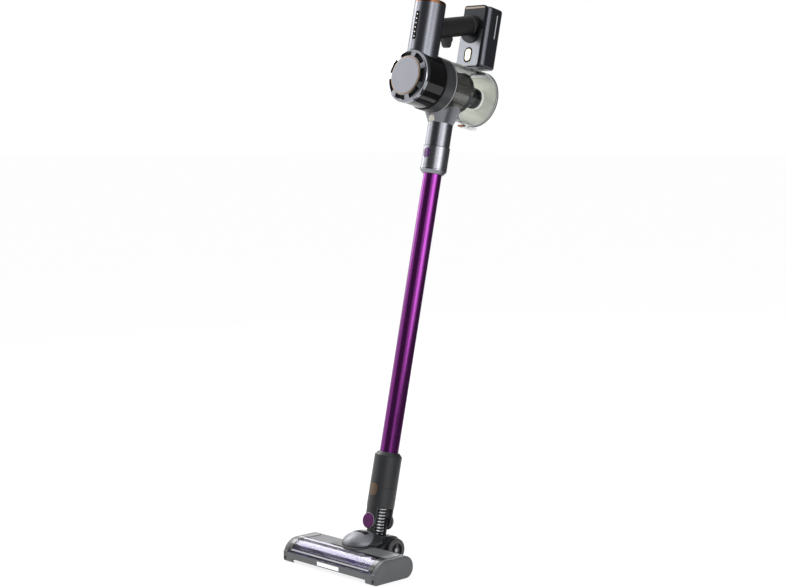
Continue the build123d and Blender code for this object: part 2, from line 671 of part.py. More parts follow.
def brush_roller():
    """Hollow core with its pulley and shaft ends."""
    start, end = PULLEY_IN, BODY_HALF - GAP
    core = along_x(ROLLER_CORE_R, start, end, ROLLER_Y, ROLLER_Z)
    core -= along_x(ROLLER_BORE_R, start + HEAD_WALL, end - HEAD_WALL, ROLLER_Y, ROLLER_Z)
    core += along_x(PULLEY_R, PULLEY_OUT, start, ROLLER_Y, ROLLER_Z)
    reach = BODY_HALF + SEAT + ROLLER_SHAFT_SEAT
    core += along_x(ROLLER_SHAFT_R, -reach, start + PAST, ROLLER_Y, ROLLER_Z)
    return core + along_x(ROLLER_SHAFT_R, end - PAST, reach, ROLLER_Y, ROLLER_Z)


def roller_strips():
    """Spiral strips of pile round the core, between the ends of the slot."""
    start, end = PULLEY_IN, BODY_HALF - HEAD_WALL - GAP
    place = Plane((start, ROLLER_Y, ROLLER_Z), x_dir=(0, 1, 0), z_dir=(1, 0, 0)).location
    strips = []
    for turn in range(ROLLER_STRIPS):
        foot = sector(ROLLER_CORE_R + SEAT, ROLLER_TIP_R, turn * 360 / ROLLER_STRIPS, ROLLER_STRIP_SWEEP)
        length = (0, 0, end - start)
        strip = Solid.extrude_linear_with_rotation(foot.face(), (0, 0, 0), length, ROLLER_TWIST)
        strips.append(place * strip)
    return strips


def brush_motor():
    start = PULLEY_IN + HEAD_WALL
    body = along_x(BRUSH_MOTOR_R, start, start + BRUSH_MOTOR_LENGTH, BRUSH_MOTOR_Y, BRUSH_MOTOR_Z)
    shaft = ROLLER_SHAFT_R + RUN
    return body - along_x(shaft, start - PAST, start + BRUSH_MOTOR_LENGTH / 2, BRUSH_MOTOR_Y, BRUSH_MOTOR_Z)


def motor_pulley():
    shaft_end = PULLEY_IN + HEAD_WALL + BRUSH_MOTOR_LENGTH / 2 - GAP
    wheel = along_x(MOTOR_PULLEY_R, PULLEY_OUT, PULLEY_IN, BRUSH_MOTOR_Y, BRUSH_MOTOR_Z)
    return wheel + along_x(ROLLER_SHAFT_R, PULLEY_OUT, shaft_end, BRUSH_MOTOR_Y, BRUSH_MOTOR_Z)


def belt_loop(margin):
    """Outline of a band round both pulleys, margin outside them."""
    rounds = [Pos(ROLLER_Y, ROLLER_Z) * Circle(PULLEY_R + margin),
              Pos(BRUSH_MOTOR_Y, BRUSH_MOTOR_Z) * Circle(MOTOR_PULLEY_R + margin)]
    return make_hull([edge for disc in rounds for edge in disc.edges()])


def drive_belt():
    band = belt_loop(RUN + BELT_THICK) - belt_loop(RUN)
    return slab(band, PULLEY_OUT + BELT_INSET, PULLEY_IN - BELT_INSET)


# Hood

def hood_dome(inset):
    """Ellipsoid of the hood, inset from its skin and floor and cut off behind."""
    sizes = (HOOD_HALF - inset, HOOD_MIDDLE - HOOD_FRONT - inset, HOOD_PEAK - HOOD_LIP - inset)
    dome = Pos(0, HOOD_MIDDLE, HOOD_LIP) * scale(Sphere(1), sizes)
    return dome & block(-HOOD_HALF, HOOD_HALF, HOOD_FRONT, HOOD_BACK, HOOD_LIP + inset, HOOD_PEAK)


def hood_foot(inset):
    """Oval pillar under the dome, down to the top of the head."""
    oval = Ellipse(HOOD_HALF - inset, HOOD_MIDDLE - HOOD_FRONT - inset)
    pillar = Pos(0, HOOD_MIDDLE, HEAD_TOP + SEAT) * extrude(oval, HOOD_LIP - HEAD_TOP + PAST)
    flat = HEAD_BACK - HEAD_SHOULDER_R
    return pillar & block(-HOOD_HALF, HOOD_HALF, HOOD_FRONT, flat, HEAD_TOP, HOOD_PEAK)


def hood():
    """Hollow dome on its foot, notched for the yoke."""
    body = hood_dome(0) + hood_foot(2 * HOOD_WALL) - hood_dome(HOOD_WALL) - hood_foot(3 * HOOD_WALL)
    front = -(EAR_OUT + HOOD_NOTCH_GAP)
    notch = block(-HOOD_NOTCH_HALF, HOOD_NOTCH_HALF, front, REACH, -REACH / 2, NECK_ARCH)
    return body - WAND.location * notch


# Barrel, cap and motor; heights here run along S

def filter_cap():
    """Slotted cap with a skirt that turns inside the motor shell."""
    plate = CAP_FRONT + HEAD_WALL
    inner = CAP_SKIRT_R - SHELL_WALL
    edge, skirt = SHELL_FRONT - GAP, SHELL_FRONT + CAP_SKIRT
    drop = CAP_DROP * (inner - CAP_CONE_R) / (CAP_R - CAP_CONE_R)
    cap = turned((0, CAP_FRONT), (CAP_CONE_R, CAP_FRONT), (CAP_R, CAP_FRONT + CAP_DROP), (CAP_R, edge),
                 (CAP_SKIRT_R, edge), (CAP_SKIRT_R, skirt), (inner, skirt), (inner, plate + drop),
                 (CAP_CONE_R, plate), (0, plate))
    rim = [edge for edge in cap.edges().filter_by(GeomType.CIRCLE)
           if edge.radius > CAP_R - RUN and edge.center().Z < CAP_FRONT + CAP_ROUND]
    cap = fillet(rim, CAP_ROUND)
    for slot in range(CAP_SLOTS):
        shape = sector(CAP_SLOT_INNER, CAP_SLOT_OUTER, slot * 360 / CAP_SLOTS, CAP_SLOT_SWEEP)
        cap -= Pos(0, 0, CAP_FRONT - PAST) * extrude(shape, CAP_DROP + HEAD_WALL + 2 * PAST)
    return cap


def cap_face():
    face = rod(FACE_R, FACE_FRONT, CAP_FRONT - SEAT)
    return fillet(face.edges().sort_by(Axis.Z)[0], TRIM_WIDTH / 2)


def cap_trim_ring():
    inner = FACE_R + SEAT
    return pipe(inner + TRIM_WIDTH, inner, FACE_FRONT + TRIM_WIDTH / 2, CAP_FRONT - SEAT)


def exhaust_filter():
    outer = CAP_SKIRT_R - SHELL_WALL - SEAT
    return pipe(outer, CAP_SLOT_INNER - TRIM_WIDTH, CAP_FRONT + CAP_DROP + HEAD_WALL + SEAT,
                SHELL_FRONT + CAP_SKIRT)


def motor_shell():
    return pipe(SHELL_R, SHELL_R - SHELL_WALL, SHELL_FRONT, SHELL_BACK - SEAT)


def barrel_ring():
    return turned((BULKHEAD_R, SHELL_BACK), (RING_R, SHELL_BACK), (RING_R, RING_BACK), (RING_BORE, RING_BACK),
                  (RING_BORE, BULKHEAD_BACK), (BULKHEAD_R, BULKHEAD_BACK))


def suction_motor():
    """Hollow can that carries the fan's shaft at both ends."""
    can = rod(MOTOR_R, MOTOR_FRONT, MOTOR_BACK)
    can -= rod(MOTOR_R - MOTOR_WALL, MOTOR_FRONT + MOTOR_WALL, MOTOR_BACK - MOTOR_WALL)
    return can - rod(FAN_SHAFT_R + RUN, MOTOR_FRONT + MOTOR_WALL / 4, MOTOR_BACK + PAST)


def motor_mount():
    """Rubber collar between the motor and its shell."""
    return pipe(SHELL_R - SHELL_WALL - SEAT, MOTOR_R + SEAT, MOUNT_FRONT, MOUNT_BACK)


def fan_rotor():
    hub = FAN_R / 4
    fan = rod(hub, FAN_FRONT, FAN_BACK) + rod(FAN_R, FAN_FRONT, FAN_FRONT + SHELL_WALL)
    for blade in range(FAN_BLADES):
        vane = block(hub / 2, FAN_R - FAN_BLADE, -FAN_BLADE / 2, FAN_BLADE / 2, FAN_FRONT, FAN_BACK)
        fan += Rot(0, 0, blade * 360 / FAN_BLADES) * vane
    return fan + rod(FAN_SHAFT_R, MOTOR_FRONT + MOTOR_WALL / 2, FAN_FRONT + PAST)


# Dust cup and lid, in the wand frame

def lid_line():
    """Height of the lid's straight top edge under its hinge."""
    return HINGE_T - HINGE_R - GAP


def over_lid(height):
    return block(-REACH, REACH, -REACH, REACH, height, height + REACH)


def cup_wall():
    spigot = RING_BORE - GAP
    front = RING_BACK + GAP
    return about_barrel(turned(
        (spigot - CUP_WALL, RING_BACK - CUP_SPIGOT), (spigot, RING_BACK - CUP_SPIGOT), (spigot, front),
        (CUP_FRONT_R, front), (CUP_BACK_R, CUP_BACK), (CUP_BACK_R - CUP_WALL, CUP_BACK),
        (CUP_FRONT_R - CUP_WALL, front + CUP_WALL), (spigot - CUP_WALL, front + CUP_WALL)))


def latch_ears():
    radius = 2 * LATCH_PIN_R
    start = LATCH_HALF + GAP
    roof = BARREL_T - cup_radius(LATCH_PIVOT_S) + CUP_WALL / 2
    ear = slab(polygon((LATCH_PIVOT_S - radius, LATCH_T), (LATCH_PIVOT_S + radius, LATCH_T),
                       (LATCH_PIVOT_S + radius, roof), (LATCH_PIVOT_S - radius, roof)),
               start, start + LATCH_EAR)
    ear += along_x(radius, start, start + LATCH_EAR, LATCH_PIVOT_S, LATCH_T)
    ear -= along_x(LATCH_PIN_R + RUN, 0, REACH, LATCH_PIVOT_S, LATCH_T)
    return ear + mirrored(ear)


def dust_cup():
    """Clear cup with the block over the lid's straight edge that carries the hinge pin."""
    hinge_block = about_barrel(rod(CUP_BACK_R, CUP_BACK - CUP_WALL, HINGE_S + HINGE_R / 2))
    hinge_block &= over_lid(lid_line() + GAP)
    body = cup_wall() + hinge_block + latch_ears()
    room = HINGE_R + GAP
    body -= block(-KNUCKLE_HALF - GAP, KNUCKLE_HALF + GAP, HINGE_S - room, REACH, lid_line(), HINGE_T + REACH)
    body -= along_x(HINGE_PIN_R + SEAT, -HINGE_HALF, HINGE_HALF, HINGE_S, HINGE_T)
    return body - rod(CUP_INLET_R, FLARE_T, BARREL_T - BULKHEAD_R)


def lid_hinge_pin():
    return along_x(HINGE_PIN_R, -HINGE_HALF, HINGE_HALF, HINGE_S, HINGE_T)


def cup_lid():
    """Shallow clear dish with a knuckle at its straight top edge."""
    floor = LID_BACK - LID_WALL
    dish = about_barrel(turned((0, floor), (LID_R - LID_WALL, floor), (LID_R - LID_WALL, LID_FRONT),
                               (LID_R, LID_FRONT), (LID_R, LID_BACK), (0, LID_BACK)))
    dish -= over_lid(lid_line())
    knuckle = along_x(HINGE_R, -KNUCKLE_HALF, KNUCKLE_HALF, HINGE_S, HINGE_T)
    knuckle += block(-KNUCKLE_HALF, KNUCKLE_HALF, HINGE_S, LID_BACK, lid_line() - HINGE_R, HINGE_T)
    return dish + knuckle - along_x(HINGE_PIN_R + RUN, -HINGE_HALF, HINGE_HALF, HINGE_S, HINGE_T)


def lid_gasket():
    back = LID_BACK - LID_WALL - SEAT
    ring = about_barrel(pipe(GASKET_R, HUB_R, back - GASKET_THICK, back))
    return ring - over_lid(lid_line() - HINGE_R - GAP)


def lid_latch():
    """Lever under the cup with a hook behind the lid's lower edge, clear of its swing."""
    half = LATCH_THICK / 2
    hook = LID_BACK + GAP
    grip = BARREL_T - LID_R - GAP
    lever = slab(polygon((LATCH_FRONT, LATCH_T - half), (hook + LATCH_HOOK, LATCH_T - half),
                         (hook + LATCH_HOOK, grip), (hook, grip), (hook, LATCH_T + half),
                         (LATCH_FRONT, LATCH_T + half)), -LATCH_HALF, LATCH_HALF)
    reach = LATCH_HALF + GAP + LATCH_EAR
    return lever + along_x(LATCH_PIN_R, -reach, reach, LATCH_PIVOT_S, LATCH_T)


def cyclone_shroud():
    spigot = RING_BORE - GAP - CUP_WALL
    front = RING_BACK + GAP
    inner, outer = SHROUD_R - SHROUD_WALL, spigot - SEAT
    return turned((inner, front), (outer, front), (outer, front + CUP_WALL), (SHROUD_R, front + CUP_WALL),
                  (SHROUD_R, SHROUD_BACK), (inner, SHROUD_BACK))


def shroud_skirt():
    inner = CONE_FRONT_R - CONE_WALL
    start = SHROUD_BACK + SEAT
    return turned((inner, start), (SHROUD_R, start), (SKIRT_R, SKIRT_BACK), (SKIRT_R - CUP_WALL, SKIRT_BACK),
                  (SHROUD_R - CUP_WALL, start + CUP_WALL), (inner, start + CUP_WALL))


def cyclone_cone():
    start = SHROUD_BACK + SEAT + CUP_WALL + SEAT
    return turned((CONE_FRONT_R - CONE_WALL, start), (CONE_FRONT_R, start), (CONE_BACK_R, CONE_BACK),
                  (CONE_BACK_R - CONE_WALL, CONE_BACK))


def cone_hub():
    start = CONE_BACK + SEAT
    return pipe(HUB_R, CONE_BACK_R - CONE_WALL, start, HUB_BACK)


# Inlet housing under the barrel

def inlet_housing(space):
    base = COLLAR_TOP + SEAT
    body = rod(INLET_R, base, FLARE_T)
    body += loft([Plane((0, 0, FLARE_T)) * Circle(INLET_R),
                  Plane((0, CRADLE_MIDDLE, CRADLE_T)) * Ellipse(CRADLE_X, CRADLE_S)])
    body -= rod(SPIGOT_R + SEAT, base - PAST, COLLAR_TOP + SPIGOT_LENGTH + SEAT)
    return body - rod(INLET_BORE_R, base, CRADLE_T + PAST) - space


def cup_button_pair():
    """Button on the front of the flare, and its pocket."""
    middle = CUP_BUTTON[3]
    share = (middle - FLARE_T) / (CRADLE_T - FLARE_T)
    surface = INLET_R + share * (CRADLE_S - CRADLE_MIDDLE - INLET_R)
    front = -(surface + BUTTON_PROUD)
    button = pad(CUP_BUTTON, front, front + BUTTON_DEPTH)
    button = fillet(button.faces().sort_by(Axis.Y)[0].edges(), BUTTON_PROUD)
    return button, pad(CUP_BUTTON, -REACH, front + BUTTON_DEPTH + BUTTON_TRAVEL + GAP, GAP)


# Display column

def at_column(shape):
    return Pos(0, COLUMN_S, 0) * shape


def column_shell(space):
    body = at_column(pipe(COLUMN_R, COLUMN_R - COLUMN_WALL, COLUMN_BOTTOM, COLUMN_TOP)) - space
    body -= window_slot(0)
    return body - GRIP.location * rod(CORE_R + SEAT, -COLUMN_R / 2, COLUMN_R / 2)


def window_slot(inset):
    half = WINDOW_WIDTH / 2 - inset
    front = COLUMN_S - COLUMN_R
    back = front + 2 * COLUMN_WALL
    return block(-half, half, front - PAST, back, WINDOW_BOTTOM + inset, WINDOW_TOP - inset)


def led_window():
    lens = pipe(COLUMN_R, COLUMN_R - WINDOW_DEPTH, WINDOW_BOTTOM, WINDOW_TOP)
    return at_column(lens) & window_slot(SEAT)


def column_trim_ring():
    return at_column(pipe(COLUMN_R, COLUMN_R - COLUMN_WALL, COLUMN_TOP + SEAT, COLUMN_TOP + TRIM_RING_HEIGHT))


def column_top_cap():
    seat = COLUMN_TOP + TRIM_RING_HEIGHT + SEAT
    top = seat + TOP_CAP_HEIGHT
    plug = COLUMN_R - COLUMN_WALL - SEAT
    edge = COLUMN_R - TOP_CAP_INSET
    cap = turned((0, COLUMN_TOP), (plug, COLUMN_TOP), (plug, seat), (edge, seat), (edge, top), (0, top))
    rim = [circle for circle in cap.edges().filter_by(GeomType.CIRCLE) if circle.center().Z > top - RUN]
    return at_column(fillet(rim, TOP_CAP_HEIGHT / 2))


def control_board():
    half = BOARD_WIDTH / 2
    front = COLUMN_S - sqrt((COLUMN_R - COLUMN_WALL) ** 2 - half ** 2) + SEAT
    return block(-half, half, front, front + BOARD_THICK, WINDOW_BOTTOM, WINDOW_TOP)


# Grip and trigger

def grip_length():
    return (HOLDER_FRONT - COLUMN_S - COLUMN_R) / cos(radians(GRIP_SLOPE)) + 2 * GRIP_R


def behind(s):
    return block(-REACH, REACH, s, s + REACH, 0, COLUMN_TOP + REACH)


def trigger_slot():
    half = TRIGGER_HALF + GAP
    roof = TRIGGER_PIN_Y - 3 * TRIGGER_PIN_R
    return block(-half, half, roof, GRIP_R + PAST, TRIGGER_SLOT_FRONT, TRIGGER_SLOT_BACK)


def handle_grip():
    sleeve = pipe(GRIP_R, CORE_R + SEAT, -GRIP_R, grip_length()) - trigger_slot()
    column = at_column(rod(COLUMN_R + SEAT, COLUMN_BOTTOM, COLUMN_TOP))
    return GRIP.location * sleeve - column - behind(HOLDER_FRONT - FLANGE_THICK - SEAT)


def handle_core():
    core = pipe(CORE_R, CORE_BORE_R, -CORE_INSIDE, grip_length()) - trigger_slot()
    core -= along_x(TRIGGER_PIN_R + SEAT, -GRIP_R, GRIP_R, TRIGGER_PIN_Y, TRIGGER_PIN_Z)
    return GRIP.location * core - behind(HOLDER_FRONT + HOLDER_THICK)


def trigger_pin():
    half = sqrt(CORE_R ** 2 - (TRIGGER_PIN_Y + TRIGGER_PIN_R) ** 2)
    return GRIP.location * along_x(TRIGGER_PIN_R, -half, half, TRIGGER_PIN_Y, TRIGGER_PIN_Z)


def trigger():
    """Tongue under the grip that swings back about its pin."""
    boss = TRIGGER_PIN_Y - 2 * TRIGGER_PIN_R
    front = TRIGGER_PIN_Z - 2 * TRIGGER_PIN_R
    rear = TRIGGER_SLOT_BACK - 2 * TRIGGER_PIN_R
    low = TRIGGER_TIP - TRIGGER_SAG
    tip = [(low, rear - TRIGGER_TAPER), (low, front + TRIGGER_TAPER / 2)]
    back = Polyline(tip[1], (GRIP_R, front), (boss, front), (boss, front + 4 * TRIGGER_PIN_R),
                    (CORE_R, rear), (GRIP_R + TRIGGER_TAPER, rear), tip[0])
    outline = make_face(back.edges() + SagittaArc(*tip, TRIGGER_SAG).edges())
    body = slab(outline, -TRIGGER_HALF, TRIGGER_HALF)
    body -= along_x(TRIGGER_PIN_R + RUN, -GRIP_R, GRIP_R, TRIGGER_PIN_Y, TRIGGER_PIN_Z)
    return GRIP.location * body


# Battery and its holder

def rails(margin, bottom):
    """Two ribs on the back of the holder, or the grooves that take them."""
    start = HOLDER_FRONT + HOLDER_THICK
    rib = block(RAIL_X - margin, RAIL_X + RAIL_WIDTH + margin, start - PAST, start + RAIL_DEPTH + margin,
                bottom, BATTERY_TOP - 4 * RAIL_WIDTH + margin)
    return rib + mirrored(rib)


def battery_button():
    front = HOLDER_FRONT - BUTTON_PROUD
    button = pad(BATTERY_BUTTON, front, HOLDER_FRONT + HOLDER_THICK - BUTTON_TRAVEL - GAP)
    return fillet(button.faces().sort_by(Axis.Y)[0].edges(), BUTTON_PROUD)


def battery_holder():
    """Plate on the end of the grip, with the flange, rails and the recess round the release button."""
    height = BATTERY_TOP - BATTERY_BOTTOM
    size = (2 * HOLDER_HALF, height, HOLDER_CORNER, BATTERY_BOTTOM + height / 2)
    plate = pad(size, HOLDER_FRONT, HOLDER_FRONT + HOLDER_THICK)
    plate += along_s(FLANGE_R, HOLDER_FRONT - FLANGE_THICK, HOLDER_FRONT + PAST, FLANGE_T)
    plate += rails(0, BATTERY_BOTTOM + RAIL_WIDTH)
    plate -= GRIP.location * rod(CORE_R + SEAT, 0, grip_length())
    plate -= pad(BATTERY_BUTTON, HOLDER_FRONT - PAST, HOLDER_FRONT + HOLDER_THICK / 3, BATTERY_RECESS)
    return plate - pad(BATTERY_BUTTON, HOLDER_FRONT - PAST, HOLDER_FRONT + HOLDER_THICK + PAST, GAP)


def battery_block(inset, bottom, top):
    depth = BATTERY_BACK - BATTERY_FRONT
    face = RectangleRounded(2 * (BATTERY_HALF - inset), depth - 2 * inset, BATTERY_ROUND - inset)
    return Pos(0, BATTERY_FRONT + depth / 2, bottom) * extrude(face, top - bottom)


def battery_joint():
    """Height of the seam between the battery's case and its lid."""
    return BATTERY_TOP - 2 * BATTERY_EDGE


def battery_case():
    """Case with grooves for the rails and a boss round the charging socket."""
    body = battery_block(0, BATTERY_BOTTOM, battery_joint())
    body = fillet(body.faces().sort_by(Axis.Z)[0].edges(), BATTERY_EDGE)
    front_wall = BATTERY_FRONT + RAIL_DEPTH + GAP + BATTERY_WALL
    room = battery_block(BATTERY_WALL, BATTERY_BOTTOM + BATTERY_EDGE, BATTERY_TOP)
    body -= room & behind(front_wall)
    jack = BATTERY_BACK - JACK_DEPTH
    body += along_s(JACK_BODY_R, jack - BATTERY_WALL, BATTERY_BACK - BATTERY_WALL / 2, JACK_T)
    body -= along_s(JACK_R, jack, BATTERY_BACK + PAST, JACK_T)
    return body - rails(GAP, BATTERY_BOTTOM - PAST)


def battery_lid():
    lid = battery_block(0, battery_joint() + SEAT, BATTERY_TOP)
    return fillet(lid.faces().sort_by(Axis.Z)[-1].edges(), BATTERY_EDGE)


def battery_cells():
    bottom = JACK_T + JACK_BODY_R + BATTERY_WALL
    back = BATTERY_BACK - BATTERY_WALL - SEAT - CELL_R
    pitch = 2 * CELL_R + GAP
    return [Pos(x, back, 0) * rod(CELL_R, bottom, bottom + CELL_LENGTH) for x in (-pitch, 0, pitch)]


def barrel_pieces():
    """Pieces turned about the barrel's axis."""
    return {
        "filter_cap": filter_cap(),
        "cap_face": cap_face(),
        "cap_trim_ring": cap_trim_ring(),
        "exhaust_filter": exhaust_filter(),
        "motor_shell": motor_shell(),
        "barrel_ring": barrel_ring(),
        "suction_motor": suction_motor(),
        "motor_mount": motor_mount(),
        "fan_rotor": fan_rotor(),
        "cyclone_shroud": cyclone_shroud(),
        "shroud_skirt": shroud_skirt(),
        "cyclone_cone": cyclone_cone(),
        "cone_hub": cone_hub(),
    }


def wand_pieces():
    """Pieces drawn in the wand frame."""
    space = barrel_space()
    collar_button, collar_pocket = button_in(COLLAR_BUTTON, COLLAR_R)
    neck_button, neck_pocket = button_in(NECK_BUTTON, NECK_R)
    cup_button, cup_pocket = cup_button_pair()
    pieces = {name: about_barrel(shape) for name, shape in barrel_pieces().items()}
    pieces |= {
        "wand_tube": wand_tube(),
        "wand_collar": wand_collar(collar_pocket),
        "collar_button": collar_button,
        "foot_collar": foot_collar(neck_pocket),
        "neck_button": neck_button,
        "neck_socket": neck_socket(neck_pocket),
        "pivot_caps": [pivot_cap(side) for side in (-1, 1)],
        "neck_hose": neck_hose(),
        "dust_cup": dust_cup(),
        "cup_lid": cup_lid(),
        "lid_gasket": lid_gasket(),
        "lid_hinge_pin": lid_hinge_pin(),
        "lid_latch": lid_latch(),
        "inlet_housing": inlet_housing(space) - cup_pocket,
        "cup_button": cup_button,
        "column_shell": column_shell(space),
        "column_trim_ring": column_trim_ring(),
        "column_top_cap": column_top_cap(),
        "led_window": led_window(),
        "control_board": control_board(),
        "handle_grip": handle_grip(),
        "handle_core": handle_core(),
        "trigger": trigger(),
        "trigger_pin": trigger_pin(),
        "battery_holder": battery_holder(),
        "battery_button": battery_button(),
        "battery_case": battery_case(),
        "battery_lid": battery_lid(),
        "battery_cells": battery_cells(),
    }
    return pieces


def floor_pieces():
    """Pieces drawn in the floor frame."""
    shell = head_shell()
    pieces = {
        "yoke": yoke(),
        "axle_stubs": axle_stubs(),
        "head_base": head_base(shell),
        "head_cover": head_cover(shell),
        "roller_window": roller_window(shell),
        "light_lens": light_lens(),
        "hood": hood(),
        "brush_roller": brush_roller(),
        "roller_strips": roller_strips(),
        "brush_motor": brush_motor(),
        "motor_pulley": motor_pulley(),
        "drive_belt": drive_belt(),
    }
    pairs = {"rear_wheel": rear_wheel(), "end_cap": end_cap(), "front_roller": front_roller()}
    for name, shape in pairs.items():
        pieces[name + "_right"] = shape
        pieces[name + "_left"] = mirrored(shape)
    return pieces


def placed(shape, place):
    """One solid, or a group of separate solids, set in the floor frame."""
    if isinstance(shape, list):
        return Compound(children=[place * solid for solid in shape])
    return place * shape


def main():
    os.makedirs("parts", exist_ok=True)
    for place, pieces in ((WAND.location, wand_pieces()), (Location(), floor_pieces())):
        for name, shape in pieces.items():
            export_step(placed(shape, place), f"parts/{name}.step")
            print("wrote", name)


main()
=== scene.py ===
import json
import math

import bmesh
import bpy
from mathutils import Matrix, Vector


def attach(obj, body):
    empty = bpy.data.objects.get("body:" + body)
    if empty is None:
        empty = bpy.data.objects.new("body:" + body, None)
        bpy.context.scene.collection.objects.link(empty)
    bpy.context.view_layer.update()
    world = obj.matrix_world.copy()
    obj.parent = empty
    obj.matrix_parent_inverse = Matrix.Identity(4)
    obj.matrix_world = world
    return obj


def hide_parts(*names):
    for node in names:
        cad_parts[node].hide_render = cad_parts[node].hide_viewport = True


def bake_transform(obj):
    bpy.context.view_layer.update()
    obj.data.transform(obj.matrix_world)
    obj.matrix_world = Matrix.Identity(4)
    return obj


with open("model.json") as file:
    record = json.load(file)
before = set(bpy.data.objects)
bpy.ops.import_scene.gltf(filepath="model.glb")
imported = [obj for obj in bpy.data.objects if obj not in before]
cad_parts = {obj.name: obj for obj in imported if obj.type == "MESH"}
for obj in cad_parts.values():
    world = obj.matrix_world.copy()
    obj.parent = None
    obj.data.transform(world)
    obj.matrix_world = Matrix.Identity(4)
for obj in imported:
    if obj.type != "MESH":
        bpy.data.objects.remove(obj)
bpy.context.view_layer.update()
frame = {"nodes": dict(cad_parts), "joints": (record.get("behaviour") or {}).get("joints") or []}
nodes = frame["nodes"]
joints = {joint["name"]: joint for joint in frame["joints"]}
mm = 0.001
print("frame loaded:", len(nodes), "nodes")


# the wand's own directions, read off its joints: across, back along the barrel, up the tube
def frameOf(origin, across, second, third):
    return Matrix.Translation(origin) @ Matrix((across, second, third)).transposed().to_4x4()


acrossAxis = Vector((1, 0, 0))
rollAxis = Vector(joints["neck_roll"]["axis"]).normalized()
rollPivot = Vector(joints["neck_roll"]["pos_m"])
tubeAxis = acrossAxis.cross(rollAxis)
wandFrame = frameOf(rollPivot, acrossAxis, rollAxis, tubeAxis)
barrelPoint = Vector(joints["cap_twist"]["pos_m"])
barrelMiddle = barrelPoint - rollAxis * (barrelPoint - rollPivot).dot(rollAxis)
barrelFrame = frameOf(barrelMiddle, acrossAxis, -tubeAxis, rollAxis)    # its third axis runs to the back


# one shader value; maths on it adds Math nodes
class Value:
    def __init__(self, board, socket):
        self.board = board
        self.socket = socket

    def maths(self, operation, first, second):
        return self.board.node("ShaderNodeMath", {"operation": operation}, {0: first, 1: second})

    def __add__(self, other):
        return self.maths("ADD", self, other)

    def __radd__(self, other):
        return self.maths("ADD", other, self)

    def __sub__(self, other):
        return self.maths("SUBTRACT", self, other)

    def __rsub__(self, other):
        return self.maths("SUBTRACT", other, self)

    def __mul__(self, other):
        return self.maths("MULTIPLY", self, other)

    def __lt__(self, other):
        return self.maths("LESS_THAN", self, other)

    def __gt__(self, other):
        return self.maths("GREATER_THAN", self, other)

    def __or__(self, other):
        return self.maths("MAXIMUM", self, other)


class Board:
    def __init__(self, tree):
        self.tree = tree

    def fill(self, socket, value):
        if isinstance(value, Value):
            self.tree.links.new(value.socket, socket)
        else:
            socket.default_value = value

    def node(self, kind, settings=None, sockets=None, output=0):
        made = self.tree.nodes.new(kind)
        for name, value in (settings or {}).items():
            setattr(made, name, value)
        for name, value in (sockets or {}).items():
            self.fill(made.inputs[name], value)
        return Value(self, made.outputs[output])

    def mix(self, first, second, factor):
        return self.node("ShaderNodeMix", {"data_type": "RGBA"}, {0: factor, 6: first, 7: second}, 2)

    def place(self, scale=(1, 1, 1), turn=(0, 0, 0), shift=(0, 0, 0)):
        coords = self.node("ShaderNodeTexCoord", output="Object")
        sockets = {"Vector": coords, "Scale": scale, "Rotation": turn, "Location": shift}
        return self.node("ShaderNodeMapping", {"vector_type": "POINT"}, sockets)

    def noise(self, scale, detail=2.0, spread=(1, 1, 1), turn=(0, 0, 0)):
        sockets = {"Vector": self.place(spread, turn), "Scale": scale, "Detail": detail}
        return self.node("ShaderNodeTexNoise", sockets=sockets)

    def bump(self, height, strength, distance):
        sockets = {"Height": height, "Strength": strength, "Distance": distance}
        return self.node("ShaderNodeBump", sockets=sockets)

    def split(self, vector):
        parts = self.node("ShaderNodeSeparateXYZ", sockets={0: vector}).socket.node
        return [Value(self, output) for output in parts.outputs]

    def wave(self, value):
        return self.node("ShaderNodeMath", {"operation": "SINE"}, {0: value})


class Finish(Board):
    def __init__(self, name):
        self.material = bpy.data.materials.new(name)
        self.material.use_nodes = True
        super().__init__(self.material.node_tree)
        self.shader = self.tree.nodes["Principled BSDF"]

    def surface(self, sockets):
        for name, value in sockets.items():
            self.fill(self.shader.inputs[name], value)
        return self.material

    def cover(self, factor, first, second):
        mixed = self.node("ShaderNodeMixShader", sockets={0: factor, 1: first, 2: second})
        self.fill(self.tree.nodes["Material Output"].inputs["Surface"], mixed)
        return self.material


def ink(code):
    channels = [int(code[place:place + 2], 16) / 255 for place in (1, 3, 5)]
    linear = [c / 12.92 if c <= 0.04045 else ((c + 0.055) / 1.055) ** 2.4 for c in channels]
    return (*linear, 1.0)


flakeScale = 2600
grainScale = 2200


# sprayed metal paint: fine flakes, a soft change of gloss and faint orange peel
def flakePaint(name, look):
    finish = Finish(name)
    flakes = finish.noise(flakeScale, 1.0)
    clouds = finish.noise(60, 3.0)
    peel = finish.noise(900, 2.0)
    return finish.surface({
        "Base Color": finish.mix(ink(look["dark"]), ink(look["light"]), flakes), "Metallic": look["metallic"],
        "Roughness": look["rough"] + (clouds - 0.5) * 0.04 + (flakes - 0.5) * 0.03,
        "Normal": finish.bump(peel, 0.03, 0.0001),
    })


# moulded plastic: spark-eroded grain, small changes of tone and rubbed patches
def mouldedPlastic(name, look):
    finish = Finish(name)
    grain = finish.noise(look.get("grain", grainScale), 3.0)
    tone = finish.noise(35, 3.0)
    rubbed = finish.noise(14, 4.0)
    return finish.surface({
        "Base Color": finish.mix(ink(look["dark"]), ink(look["light"]), tone),
        "Roughness": look["rough"] + (grain - 0.5) * 0.10 + (rubbed - 0.5) * 0.08,
        "Specular IOR Level": look.get("specular", 0.5),
        "Normal": finish.bump(grain, look.get("depth", 0.12), 0.0002),
    })


